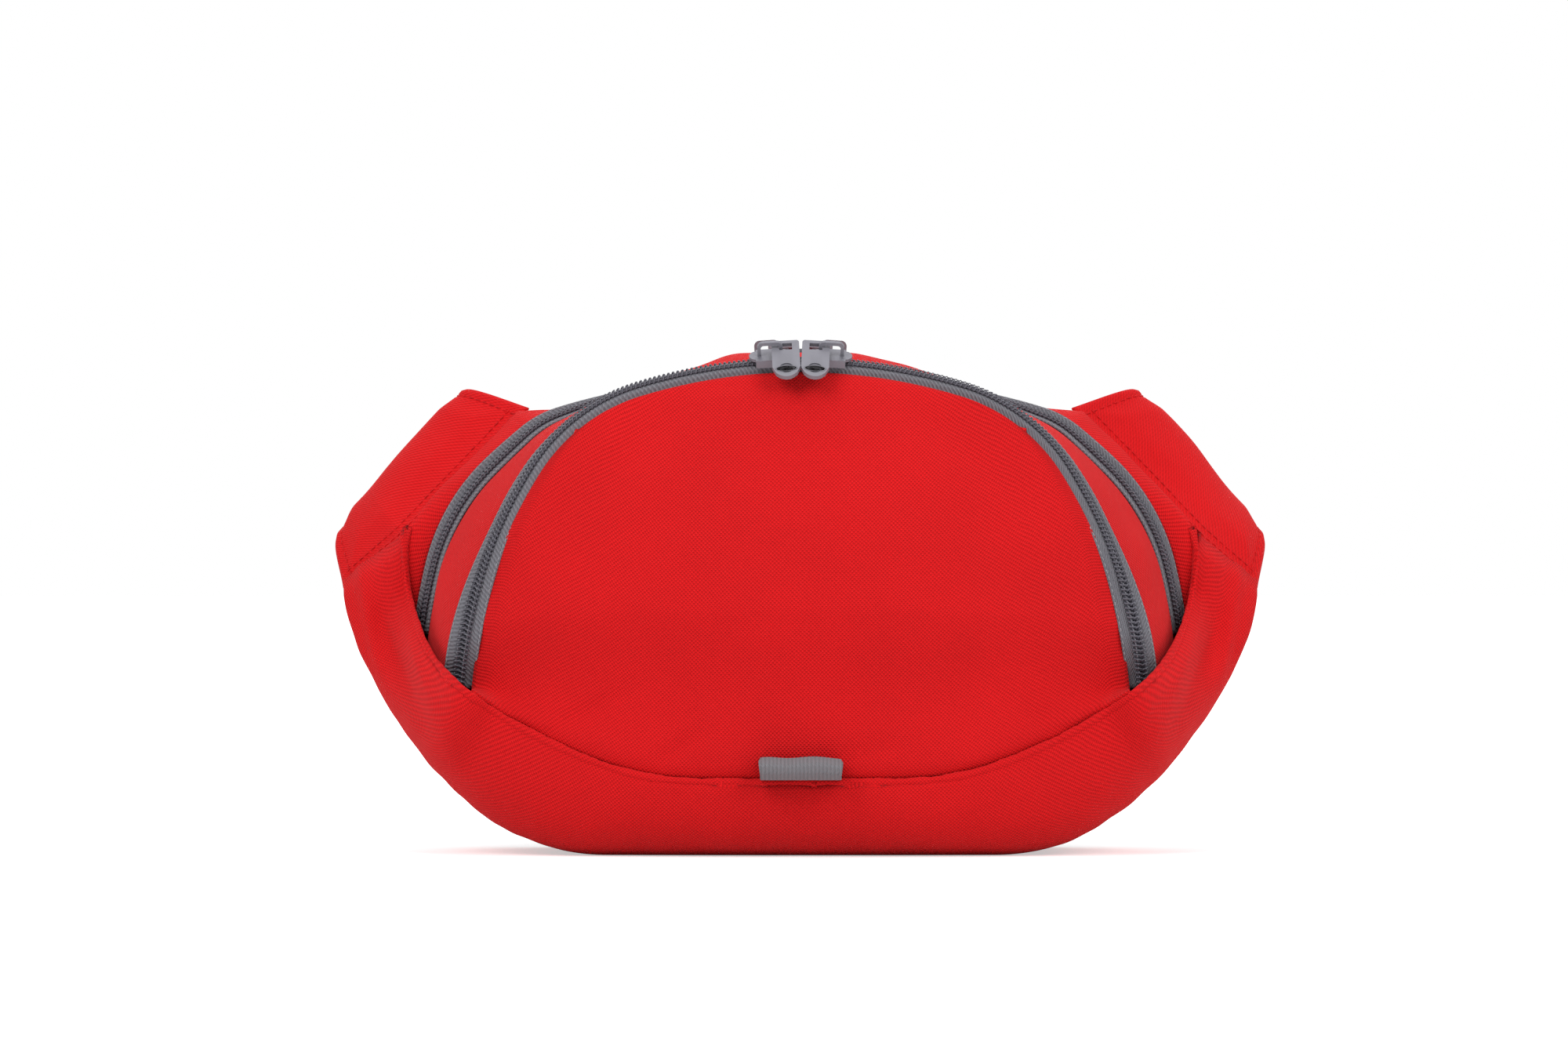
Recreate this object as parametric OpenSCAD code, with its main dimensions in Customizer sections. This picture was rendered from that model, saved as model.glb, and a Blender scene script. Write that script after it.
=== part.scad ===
// First aid kit built as a hip bag, in millimetres.
// +Z is up, the front faces -Y, and the origin is the centre of the flat underside.

/* [Bag] */
// Height of the fold line where the front flap hinges
fold_z = 52; // [51:1:54]
// How far the front of the bag stands ahead of the origin at the fold line
front_y = -47.8; // [-50:0.1:-46]
// Thickness of the coated cloth with its lining
cloth_t = 1.2; // [0.8:0.1:1.5]
// Thickness of the bottom cradle, which has a foam layer
cradle_t = 1.6; // [1.2:0.1:2]
// Thickness of the padded belt wings
wing_t = 5; // [3:0.5:6]

/* [Zips] */
// Total width of a zip across both tapes
zip_w = 10.4; // [9.6:0.2:11]
// Width of the closed coil
coil_w = 4.2; // [3.8:0.1:4.4]

/* [Belt] */
// Width of the waist webbing
webbing_w = 38; // [30:1:40]
// Thickness of the waist webbing
webbing_t = 1.6; // [1.2:0.1:2]
// Height of the middle of the belt at the buckle
belt_z = 104; // [98:1:110]
// Distance from the origin back to the belt at the buckle
belt_y = 99; // [96:1:104]

/* [Loop] */
// Width of the webbing loop in the front seam
loop_w = 25; // [20:1:30]
// Height of the webbing loop
loop_h = 6.6; // [6:0.2:8]

/* [Hidden] */
$fn = 48;
gap = 0.3;
fine = 60;
medium = 40;

// A chain of tangent arcs in the XZ plane, given for the right half and mirrored for the left:
// [start point, straight lead, legs of [radius, heading at its end], bend], where bend is -1 for
// a chain that turns down from the middle and 1 for one that turns up.
main_chain = [[0, 155.2], 0, [[175, 17], [60, 58], [160, 84.6]], -1];
rear_chain = [[0, 155.6], 0, [[172, 19.6], [3000, 20], [30, 41], [297, 44], [67, 76], [197, 81]], -1];
back_chain = [[0, 159.6], 0, [[90, 16], [60, 22], [8600, 22.38], [73, 90]], -1];
back_low_chain = [[0, 3.4], 66, [[60, 90], [1500, 90.9]], 1];
seam_chain = [[0, 23.2], 0, [[215, 18], [125, 40], [45, 80], [150, 86]], 1];
outline_chain = [[0, 0], 62, [[65.5, 40], [140, 65], [75, 80.7]], 1];

function smooth(x) = x <= 0 ? 0 : x >= 1 ? 1 : x * x * (3 - 2 * x);
function mix(a, b, f) = a * (1 - f) + b * f;
function leg_start(legs, i) = i == 0 ? 0 : legs[i - 1][1];
function leg_len(legs, i) = legs[i][0] * (legs[i][1] - leg_start(legs, i)) * PI / 180;
function walk(p, legs, bend, i, s) =
    let (a0 = leg_start(legs, i), r = legs[i][0], len_i = leg_len(legs, i))
    (s <= len_i || i == len(legs) - 1)
        ? let (a = a0 + s / r * 180 / PI)
          [p[0] + r * (sin(a) - sin(a0)), p[1] + bend * r * (cos(a0) - cos(a)), a]
        : let (a = legs[i][1])
          walk([p[0] + r * (sin(a) - sin(a0)), p[1] + bend * r * (cos(a0) - cos(a))],
               legs, bend, i + 1, s - len_i);
function chain_len(c) = c[1] + sum([for (i = [0:len(c[2]) - 1]) leg_len(c[2], i)]);
function sum(v, i = 0) = i == len(v) ? 0 : v[i] + sum(v, i + 1);
// [x, z, heading in degrees] at the signed distance s from the middle of a chain
function at(c, s) =
    let (side = s < 0 ? -1 : 1, d = abs(s))
    let (w = d <= c[1] ? [c[0][0] + d, c[0][1], 0]
                       : walk([c[0][0] + c[1], c[0][1]], c[2], c[3], 0, d - c[1]))
    [side * w[0], w[1], side * w[2]];
// Unit vector in XZ that points out of the bag at [x, z, heading]
function outward(w, bend) = [sin(w[2]), -bend * cos(w[2])];

// Tilt of a zip's face away from the front, at the distance s along its chain
function main_tilt(s) = mix(58, 16, smooth((abs(s) - 112) / 52));
function rear_tilt(s) = mix(84, 56, smooth((abs(s) - 53) / 60));
main_y = -33;
rear_y = 9;
// A point of a zip: s along it, w across it and h above its face
function zip_point(c, y0, tilt, s, w, h) =
    let (p = at(c, s), n = outward(p, -1))
    let (out = w * cos(tilt) + h * sin(tilt))
    [p[0] + out * n[0], y0 + w * sin(tilt) - h * cos(tilt), p[1] + out * n[1]];
function main_zip(s, w, h) = zip_point(main_chain, main_y, main_tilt(s), s, w, h);
function rear_zip(s, w, h) = zip_point(rear_chain, rear_y, rear_tilt(s), s, w, h);

function unit(v) = v / norm(v);
function clampi(i, n) = min(max(i, 0), n - 1);
function grid_normal(g, i, j) =
    let (n = len(g), m = len(g[0]))
    unit(cross(g[clampi(i + 1, n)][j] - g[clampi(i - 1, n)][j],
               g[i][clampi(j + 1, m)] - g[i][clampi(j - 1, m)]));
function lowered(g, t) = [for (i = [0:len(g) - 1]) [for (j = [0:len(g[0]) - 1])
    g[i][j] - t * grid_normal(g, i, j)]];
// Closed sheet of thickness t under the rows from first to last of the grid of points g, whose
// outside faces along (direction of i) x (direction of j)
module sheet(g, t, first = 0, last = -1) {
    end = last < 0 ? len(g) - 1 : last;
    n = end - first + 1;
    m = len(g[0]);
    under = lowered(g, t);
    k = n * m;
    points = [for (i = [first:end]) each g[i], for (i = [first:end]) each under[i]];
    top = [for (i = [0:n - 2]) for (j = [0:m - 2]) let (a = i * m + j)
        each [[a, a + 1, a + m], [a + 1, a + m + 1, a + m]]];
    bottom = [for (f = top) [f[0] + k, f[2] + k, f[1] + k]];
    rim = concat([for (j = [0:m - 1]) j], [for (i = [1:n - 1]) i * m + m - 1],
                 [for (j = [m - 2:-1:0]) (n - 1) * m + j], [for (i = [n - 2:-1:1]) i * m]);
    q = len(rim);
    edge = [for (i = [0:q - 1]) let (a = rim[i], b = rim[(i + 1) % q])
        each [[a, a + k, b], [b, a + k, b + k]]];
    polyhedron(points, concat(top, bottom, edge));
}
// The strip of a zip from w0 to w1 across and up to h above its face, t thick
module main_strip(w0, w1, h, t, s_end) {
    sheet([for (i = [0:fine]) let (s = mix(-s_end, s_end, i / fine))
        [main_zip(s, w0, h), main_zip(s, w1, h)]], t);
}
module rear_strip(w0, w1, h, t, s_end) {
    sheet([for (i = [0:fine]) let (s = mix(-s_end, s_end, i / fine))
        [rear_zip(s, w0, h), rear_zip(s, w1, h)]], t);
}

main_end = chain_len(main_chain);
rear_end = chain_len(rear_chain);
shoulder = 76;
tape_t = 0.8;
tape_h = tape_t / 2;
coil_h = 2.2;
half_zip = zip_w / 2;
panel_w = -half_zip + 1;
panel_h = -tape_h - gap;
seam_y = front_y + 0.3;

// Front edge of the cradle: it runs level across the front and turns back round each side
function cradle_edge_y(s) = seam_y + 10 * smooth((abs(s) - 40) / 70)
    + 47 * smooth((abs(s) - 104) / 46);
function seam_point(s, lift) =
    let (p = at(seam_chain, s), n = outward(p, 1))
    [p[0] - lift * n[0], cradle_edge_y(s), p[1] - lift * n[1]];

// Patch of cloth inside the main zip: u runs from left to right and v from the fold line up
flap_corner = main_zip(main_end - 1, panel_w, panel_h);
function fold_point(u) =
    [flap_corner[0] * u, mix(seam_y, flap_corner[1], pow(abs(u), 2.4)), flap_corner[2]];
function flap_side(u, v) = main_zip(u * mix(main_end - 1, shoulder, v), panel_w, panel_h);
function flap_top(u) = main_zip(u * shoulder, panel_w, panel_h);
function flap_point(u, v) =
    let (a = (u + 1) / 2)
    mix(fold_point(u), flap_top(u), v) + mix(flap_side(-1, v), flap_side(1, v), a)
    - mix(mix(fold_point(-1), fold_point(1), a), mix(flap_top(-1), flap_top(1), a), v)
    - [0, 4.2 * (1 - u * u) * 4 * v * (1 - v), 0];

module front_panel() {
    color("#d4202a")
    sheet([for (i = [0:20]) [for (j = [0:12]) flap_point(i / 10 - 1, j / 12)]], cloth_t);
}
module mesh_pocket() {
    inset = [0, cloth_t + 2, 0];
    color("#3a3a40")
    sheet([for (i = [0:10]) [for (j = [0:6])
        flap_point(mix(-0.62, 0.62, i / 10), mix(0.08, 0.55, j / 6)) + inset]], 0.6);
}
module front_panel_lower() {
    reach = 103;
    color("#d4202a")
    sheet([for (i = [0:24]) let (u = i / 12 - 1, low = seam_point(u * reach, 0.6))
        let (high = fold_point(low[0] / flap_corner[0]), top_z = fold_z - 0.4)
        [for (j = [0:3]) let (f = j / 3)
            [low[0], mix(low[1], high[1], f) - 0.8 * sin(180 * f), mix(low[2], top_z, f)]]], cloth_t);
}
module main_tape_inner() {
    color("#7e7e84") main_strip(-half_zip, -gap / 2, tape_h, tape_t, main_end - 6);
}
module main_tape_outer() {
    color("#7e7e84") main_strip(gap / 2, half_zip, tape_h, tape_t, main_end - 8);
}
module main_coil_inner() {
    color("#4a4a54") main_strip(-coil_w / 2, -gap / 2, coil_h, coil_h - tape_h - 0.2, main_end - 6);
}
module main_coil_outer() {
    color("#4a4a54") main_strip(gap / 2, coil_w / 2, coil_h, coil_h - tape_h - 0.2, main_end - 8);
}
rear_cut = rear_end - 9;
module rear_tape_inner() {
    color("#7e7e84") rear_strip(-half_zip, -gap / 2, tape_h, tape_t, rear_cut);
}
module rear_tape_outer() {
    color("#7e7e84") rear_strip(gap / 2, half_zip, tape_h, tape_t, rear_cut);
}
module rear_coil() {
    color("#4a4a54") rear_strip(-coil_w / 2, coil_w / 2, coil_h, coil_h - tape_h - 0.2, rear_cut);
}
module middle_gusset() {
    color("#cc1c26")
    sheet([for (i = [0:medium]) let (u = 2 * i / medium - 1)
        let (a = main_zip(u * (main_end - 9), half_zip - 1, panel_h))
        let (b = rear_zip(u * rear_cut, -half_zip + 1, panel_h - 0.8))
        let (n = outward(at(main_chain, u * main_end), -1))
        [for (j = [0:5]) let (f = j / 5)
            mix(a, b, f) + 1.6 * sin(180 * f) * [n[0], 0, n[1]]]], cloth_t);
}
back_face_y = 37.3;
module rear_gusset() {
    back_cut = chain_len(back_chain) - 27;
    color("#cc1c26")
    sheet([for (i = [0:medium]) let (u = 2 * i / medium - 1)
        let (a = rear_zip(u * rear_cut, half_zip - 1, panel_h))
        let (p = at(back_chain, u * back_cut))
        [for (j = [0:5]) let (f = j / 5)
            mix(a, [p[0], back_face_y, p[1]], f)]], cloth_t);
}

// Cradle: rows run from the back edge under the bag and up to the front seam
outline_end = chain_len(outline_chain);
seam_end = chain_len(seam_chain);
back_low_end = chain_len(back_low_chain);
function cradle_back(u) = let (p = at(back_low_chain, u * back_low_end)) [p[0], back_face_y, p[1]];
function cradle_side(u, y) = let (p = at(outline_chain, u * outline_end)) [p[0], y, p[1]];
function cradle_front_y(u) = mix(-27, 19, pow(abs(u), 2.5));
function cradle_belly(u, f) =
    let (low = cradle_side(u, cradle_front_y(u)), high = seam_point(u * seam_end, -0.6))
    let (flat = smooth((abs(u) - 0.7) / 0.3))
    let (mid = mix(low, high, mix(0.12, 0.5, flat)), pull_y = mix(low[1], high[1], mix(0.96, 0.5, flat)))
    let (pull = [mid[0], pull_y, mid[2]])
    mix(mix(low, pull, f), mix(pull, high, f), f);
cradle_grid = [for (i = [0:medium]) let (u = 2 * i / medium - 1)
    concat([cradle_back(u), cradle_side(u, 33), cradle_side(u, mix(33, cradle_front_y(u), 0.5))],
           [for (j = [0:6]) cradle_belly(u, j / 6)])];
cradle_cut = medium * 0.3;
module cradle_left() {
    color("#d4202a") sheet(cradle_grid, cradle_t, 0, cradle_cut);
}
module cradle_middle() {
    color("#d4202a") sheet(cradle_grid, cradle_t, cradle_cut, medium - cradle_cut);
}
module cradle_right() {
    color("#d4202a") sheet(cradle_grid, cradle_t, medium - cradle_cut, medium);
}

// Outline of the back of the bag, inset by d
function back_outline(d) = concat(
    [for (i = [-20:20]) let (p = at(back_chain, chain_len(back_chain) * i / 20), n = outward(p, -1))
        [p[0] - d * n[0], p[1] - d * n[1]]],
    [for (i = [18:-1:-18]) let (p = at(back_low_chain, (back_low_end - 27) * i / 18), n = outward(p, 1))
        [p[0] - d * n[0], p[1] - d * n[1]]]);
module slab(y0, y1, outline) {
    translate([0, y1, 0]) rotate([90, 0, 0]) linear_extrude(y1 - y0) polygon(outline);
}
module back_pad() {
    color("#55555c") slab(back_face_y + 1.3, 46, back_outline(0));
}
module back_lining() {
    color("#b01820") slab(back_face_y + gap, back_face_y + 1, back_outline(1.8));
}
divider_y = 4;
module divider() {
    color("#b01820") slab(divider_y, divider_y + 0.8, back_outline(15.5));
}
module organiser_panel() {
    color("#3f3f46") slab(divider_y - 1.6, divider_y - gap, [[-70, 62], [70, 62], [70, 128], [-70, 128]]);
}

// Belt wing: corner points of its seam, its fold and its end, as [top, bottom]
wing_seam = [[88.2, 22, 143.2], [128.4, 11.5, 101.6], [148.4, 20.5, 85]];
wing_seam_bend = 0.7;
wing_fold = [[108, 36, 148], [149.4, 36, 102.5]];
wing_mid = [[104.5, 62, 144], [143, 60, 101.5]];
wing_tip = [[93, 84, 137.5], [117, 84, 106.5]];
function wing_seam_at(p) = p < wing_seam_bend
    ? mix(wing_seam[0], wing_seam[1], p / wing_seam_bend)
    : mix(wing_seam[1], wing_seam[2], (p - wing_seam_bend) / (1 - wing_seam_bend));
function through(a, b, c, d, f) = 0.5 * (2 * b + (c - a) * f + (2 * a - 5 * b + 4 * c - d) * f * f
    + (3 * b - a - 3 * c + d) * f * f * f);
function wing_point(p, q) =
    let (k = [wing_seam_at(p), mix(wing_fold[0], wing_fold[1], p), mix(wing_mid[0], wing_mid[1], p),
              mix(wing_tip[0], wing_tip[1], p)])
    let (i = min(floor(q * 3), 2), f = q * 3 - i)
    through(i == 0 ? 2 * k[0] - k[1] : k[i - 1], k[i], k[i + 1], i == 2 ? 2 * k[3] - k[2] : k[i + 2], f);
module wing() {
    sheet([for (i = [0:10]) [for (j = [0:12]) wing_point(i / 10, j / 12)]], wing_t);
}
module wing_right() {
    color("#d4202a") wing();
}
module wing_left() {
    color("#d4202a") mirror([1, 0, 0]) wing();
}

// Webbing from the end of a wing to x_end at the buckle, its outer face lifted by lift
strap_pull = [[104, 85, 121.2], [94, 97, 116], [66, belt_y, belt_z]];
function bezier(a, b, c, d, f) = let (g = 1 - f)
    g * g * g * a + 3 * g * g * f * b + 3 * g * f * f * c + f * f * f * d;
module webbing_run(x_end, lift, from_f) {
    sheet([for (i = [0:16]) let (f = mix(from_f, 1, i / 16))
        let (p = bezier(strap_pull[0], strap_pull[1], strap_pull[2], [x_end, belt_y, belt_z], f))
        let (w = unit(mix([-0.612, 0, 0.79], [0, 0, 1], smooth(f))))
        [for (j = [-1:1]) p + [0, webbing_t / 2 + lift, 0] + j * webbing_w / 2 * w]], webbing_t);
}
// Turn of the webbing round a buckle's bar at x_bar, with layers that reach back to x_in and x_out
module web_fold(x_bar, x_in, x_out) {
    r = bar_r + gap;
    reach = [x_in, x_out];
    translate([0, belt_y, belt_z - webbing_w / 2]) {
        difference() {
            translate([x_bar, 0, 0]) cylinder(h = webbing_w, r = r + webbing_t);
            translate([x_bar, 0, -1]) cylinder(h = webbing_w + 2, r = r);
            translate([x_bar, -10, -1]) cube([20, 20, webbing_w + 2]);
        }
        for (i = [0, 1])
            translate([x_bar, (2 * i - 1) * (r + webbing_t / 2) - webbing_t / 2, 0])
                cube([reach[i] - x_bar, webbing_t, webbing_w]);
    }
}

// Side-release buckle, its middle at [0, belt_y, belt_z]
bar_r = 2;
socket_bar_x = -38;
plug_bar_x = 22.5;
web_room = webbing_w / 2 + 0.7;
buckle_half = web_room + 5.3;
layer_lift = bar_r + gap + webbing_t / 2;
module at_buckle() {
    translate([0, belt_y, belt_z]) children();
}
// Box from the low corner a to the high corner b
module box(a, b) {
    translate(a) cube(b - a);
}
module web_bar(x) {
    translate([x, 0, -buckle_half]) cylinder(h = 2 * buckle_half, r = bar_r);
}
cavity_half = 19;
module buckle_socket() {
    color("#26262a") at_buckle() difference() {
        union() {
            box([-31, -5.5, -buckle_half], [8, 5.5, buckle_half]);
            for (side = [0, 1]) mirror([0, 0, side])
                box([socket_bar_x, -bar_r, web_room], [-30, bar_r, buckle_half]);
            web_bar(socket_bar_x);
        }
        box([-27, -3.4, -cavity_half], [9, 3.4, cavity_half]);
        box([-21, -3.4, -buckle_half - 1], [-3, 3.4, buckle_half + 1]);
    }
}
prong_z = 13;
prong_x = 9;
module buckle_plug() {
    color("#26262a") at_buckle() difference() {
        union() {
            box([prong_x, -3.2, -cavity_half + gap], [14, 3.2, cavity_half - gap]);
            box([11, -4.5, -buckle_half], [14, 4.5, buckle_half]);
            box([-20, -2.2, -4.5], [prong_x + 1, 2.2, 4.5]);
            for (side = [0, 1]) mirror([0, 0, side])
                box([13, -bar_r, web_room], [36, bar_r, buckle_half]);
            box([33, -1.6, -buckle_half], [36, 1.6, buckle_half]);
            web_bar(plug_bar_x);
        }
        for (side = [-1, 1]) translate([prong_x, 6, side * prong_z])
            rotate([90, 0, 0]) cylinder(h = 12, r = 2.3);
    }
}
module prong() {
    color("#2e2e33") at_buckle() {
        translate([prong_x, 2.6, prong_z]) rotate([90, 0, 0]) cylinder(h = 5.2, r = 2);
        box([-18, -2.6, 11.5], [prong_x, 2.6, 14.5]);
        translate([0, 2.6, 0]) rotate([90, 0, 0]) linear_extrude(5.2)
            polygon([[-19.5, 11.5], [-4.5, 11.5], [-4.5, 22.4], [-9, 23.2], [-15, 21.5], [-19.5, 16]]);
    }
}
module prong_upper() {
    prong();
}
module prong_lower() {
    translate([0, 0, 2 * belt_z]) mirror([0, 0, 1]) prong();
}
module strap_left() {
    color("#2b2b30") mirror([1, 0, 0]) {
        webbing_run(50, layer_lift, 0);
        web_fold(-socket_bar_x, 50, 51);
    }
}
module strap_right() {
    color("#2b2b30") {
        webbing_run(44, -layer_lift, 0.07);
        web_fold(plug_bar_x, 45, 82);
    }
}
module strap_keeper() {
    outer = [4, 6.6, web_room + 1.6];
    inner = [5, 5.2, web_room + 0.4];
    color("#2b2b30") translate([50, belt_y, belt_z]) difference() {
        box(-outer, outer);
        box(-inner, inner);
    }
}

// Zip slider, drawn with the zip along X, across along Z and its face towards -Y
arch_in = -4.6;
arch_out = 3.4;
plate_h = 3.5;
pivot_h = 5.6;
module face_plate(h0, h1) {
    translate([0, -h0, 0]) rotate([90, 0, 0]) linear_extrude(h1 - h0) children();
}
module arch_outline(x0, x1, top, r) {
    translate([x0, plate_h - 0.2]) square([x1 - x0, top - r - plate_h + 0.2]);
    translate([x0 + r, plate_h - 0.2]) square([x1 - x0 - 2 * r, top - plate_h + 0.2]);
    for (x = [x0 + r, x1 - r]) translate([x, top - r]) circle(r);
}
module slider() {
    color("#8a8a90") {
        face_plate(2.5, plate_h) {
            square([7, 6.8], center = true);
            translate([-3.5, 0]) circle(3.4);
            translate([3.5, 0]) circle(2.6);
        }
        for (side = [-1, 1]) translate([-4, -plate_h, side * 3 - 0.5]) cube([8, plate_h - 0.8, 1]);
        translate([0, 0, -0.6]) linear_extrude(1.2) mirror([0, 1]) difference() {
            arch_outline(arch_in, arch_out, 8.2, 1.8);
            translate([0, -0.3]) arch_outline(arch_in + 1.1, arch_out - 1.1, 7.4, 1);
        }
    }
}
// Pull tab hanging along -Z from its eye round the slider's arch, its middle dx from the arch's leg
tab_w = 8.8;
tab_t = 1.4;
module pull_tab(dx) {
    color("#9a9aa2") translate([dx, tab_t / 2, 0]) rotate([90, 0, 0]) difference() {
        linear_extrude(tab_t) difference() {
            union() {
                translate([-tab_w / 2 + 0.6, -10]) square([tab_w - 1.2, 12.8]);
                translate([-tab_w / 2, -9.5]) square([tab_w, 11.4]);
                for (x = [-1, 1]) translate([x * (tab_w / 2 - 1), 1.8]) circle(1);
                polygon([[-tab_w / 2, -9.5], [-3.2, -12.4], [3.2, -12.4], [tab_w / 2, -9.5]]);
                translate([0, -10.4]) circle(3.6);
            }
            translate([-2.1, -1.5]) square([4.2, 3]);
        }
        translate([0, -10, tab_t - 0.4]) cylinder(h = 1, r = 2.2);
    }
}
// Places children on a zip at the distance s, in the slider's frame
module on_zip(chain, y0, tilt, s) {
    p = at(chain, s);
    translate([p[0], y0, p[1]]) rotate([0, p[2], 0]) rotate([-tilt, 0, 0]) children();
}
main_slider_s = 10;
rear_slider_s = 11;
tab_dx = -1.4;
tab_rest = 11;
rear_tab_rest = 15;
module main_slider_right() {
    on_zip(main_chain, main_y, main_tilt(0), main_slider_s) slider();
}
module main_slider_left() {
    mirror([1, 0, 0]) main_slider_right();
}
module main_tab_right() {
    on_zip(main_chain, main_y, main_tilt(0), main_slider_s)
        translate([arch_in + 0.55, -pivot_h, 0]) rotate([tab_rest, 0, 0]) pull_tab(tab_dx);
}
module main_tab_left() {
    mirror([1, 0, 0]) main_tab_right();
}
module rear_slider_right() {
    on_zip(rear_chain, rear_y, rear_tilt(0), rear_slider_s) slider();
}
module rear_slider_left() {
    mirror([1, 0, 0]) rear_slider_right();
}
module rear_tab_right() {
    on_zip(rear_chain, rear_y, rear_tilt(0), rear_slider_s) mirror([0, 0, 1])
        translate([arch_in + 0.55, -pivot_h, 0]) rotate([rear_tab_rest, 0, 0]) pull_tab(tab_dx);
}
module rear_tab_left() {
    mirror([1, 0, 0]) rear_tab_right();
}

// Folded webbing sewn into the seam at the bottom centre, open from side to side
loop_t = 1.2;
loop_out = 9;
loop_z = 23.7;
module webbing_loop() {
    r = loop_h / 2;
    color("#8a8a90") translate([loop_w / 2, seam_y - 1.2, loop_z + r]) rotate([0, -90, 0])
        linear_extrude(loop_w) difference() {
            union() {
                translate([-r, -loop_out + r]) square([loop_h, loop_out - r]);
                translate([0, -loop_out + r]) circle(r);
            }
            translate([-r + loop_t, -loop_out + r]) square([loop_h - 2 * loop_t, loop_out - r - loop_t]);
            translate([0, -loop_out + r]) circle(r - loop_t);
        }
}

// First aid contents
module roll_x(x0, x1, y, z, r, core) {
    translate([x0, y, z]) rotate([0, 90, 0]) difference() {
        cylinder(h = x1 - x0, r = r);
        translate([0, 0, -1]) cylinder(h = x1 - x0 + 2, r = core);
    }
}
module crepe_bandage() {
    color("#e9dcc4") roll_x(-66, 2, -20, 18.6, 15.5, 2.5);
}
module gauze_bandage() {
    color("#f3f3ef") roll_x(5, 55, -20, 15.6, 12.5, 2.5);
}
module tape_reel() {
    color("#e8e4da") roll_x(59, 77, -16, 25, 17, 9);
}
module dressing_packs() {
    color("#f0f2f4") for (i = [0:2]) box([-62 + 3 * i, -15 + 3.4 * i, 40], [38 + 3 * i, -12 + 3.4 * i, 96 - 4 * i]);
}
module plaster_wallet() {
    color("#dfe8ee") box([46, -14.5, 44], [92, -6, 96]);
}
module triangular_bandage() {
    color("#f4f4f0") box([-98, -16, 46], [-66, 0, 106]);
}
module foil_blanket_pouch() {
    color("#c9ccd2") box([-96, 7, 30], [-16, 17, 104]);
}
module glove_pouch() {
    color("#cfe3ef") box([-50, 21, 3.4], [50, 33, 52]);
}
vial_x = [-54, -38];
tweezers_x = -14;
loop_r = 7;
module elastic_loops() {
    color("#1f1f22") for (x = concat(vial_x, [tweezers_x]))
        translate([x, divider_y - 1.9, 88]) difference() {
            cylinder(h = 16, r = loop_r);
            translate([0, 0, -1]) cylinder(h = 18, r = loop_r - 0.8);
            translate([-10, 0, -1]) cube([20, 10, 18]);
        }
}
module saline_vials() {
    color("#dff0ea") for (x = vial_x) translate([x, divider_y - 5, 64]) {
        cylinder(h = 44, r = 2.8);
        translate([0, 0, 43]) cylinder(h = 6, r = 1.8);
        translate([-2.6, -0.8, 48]) cube([5.2, 1.6, 8]);
    }
}
module tweezers() {
    color("#c4c7cc") translate([tweezers_x, divider_y - 5, 66]) {
        for (side = [-1, 1]) rotate([0, side * 2.2, 0]) translate([side * 0.6 - 0.5, -2.2, 0])
            cube([1, 4.4, 58]);
        translate([-3.6, -2.2, 57]) cube([7.2, 4.4, 3]);
    }
}
// Scissor half: blade down, shank and ring up, its pivot at the origin
scissor_pivot = [46, 0, 84];
scissor_t = 2;
scissor_y = 7.4;
ring_at = [14, 36];
module scissor_outline() {
    difference() {
        union() {
            circle(6);
            polygon([[-6, 3], [6, -3], [3.4, -46], [-3, -50], [-5, -44]]);
            polygon([[-5, 3.5], [5, -3.5], [10, 26], [5, 26]]);
            translate(ring_at) circle(12);
        }
        translate(ring_at) circle(8.6);
    }
}
module scissor_fixed() {
    color("#b9bcc2") translate(scissor_pivot) {
        translate([0, scissor_y + scissor_t, 0]) rotate([90, 0, 0])
            linear_extrude(scissor_t) scissor_outline();
        translate([0, scissor_y + 4.6, 0]) rotate([90, 0, 0]) cylinder(h = 3, r = 2);
    }
}
module scissor_moving() {
    color("#b9bcc2") translate(scissor_pivot) translate([0, scissor_y + 2 * scissor_t + 0.2, 0])
        rotate([90, 0, 0]) difference() {
            mirror([1, 0, 0]) linear_extrude(scissor_t) scissor_outline();
            translate([0, 0, -1]) cylinder(h = scissor_t + 2, r = 2.05);
        }
}
module scissor_loop() {
    color("#1f1f22") translate([scissor_pivot[0], divider_y + 0.8 + gap, scissor_pivot[2] + 16])
        difference() {
            box([-0.2, 0, 0], [11, scissor_y - divider_y + 1.9, 7]);
            box([0.4, 0.6, -1], [10.4, scissor_y - divider_y + 1.3, 8]);
        }
}

front_panel();
mesh_pocket();
main_tape_inner();
main_coil_inner();
front_panel_lower();
main_tape_outer();
main_coil_outer();
middle_gusset();
rear_tape_inner();
rear_tape_outer();
rear_coil();
rear_gusset();
cradle_left();
cradle_middle();
cradle_right();
webbing_loop();
back_pad();
back_lining();
divider();
organiser_panel();
elastic_loops();
wing_left();
wing_right();
strap_left();
strap_right();
strap_keeper();
buckle_socket();
buckle_plug();
prong_upper();
prong_lower();
main_slider_left();
main_slider_right();
main_tab_left();
main_tab_right();
rear_slider_left();
rear_slider_right();
rear_tab_left();
rear_tab_right();
crepe_bandage();
gauze_bandage();
tape_reel();
dressing_packs();
plaster_wallet();
triangular_bandage();
foil_blanket_pouch();
glove_pouch();
saline_vials();
tweezers();
scissor_fixed();
scissor_moving();
scissor_loop();
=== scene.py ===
import math

import bmesh
import bpy
import numpy as np
from mathutils import Matrix, Vector, noise


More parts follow.
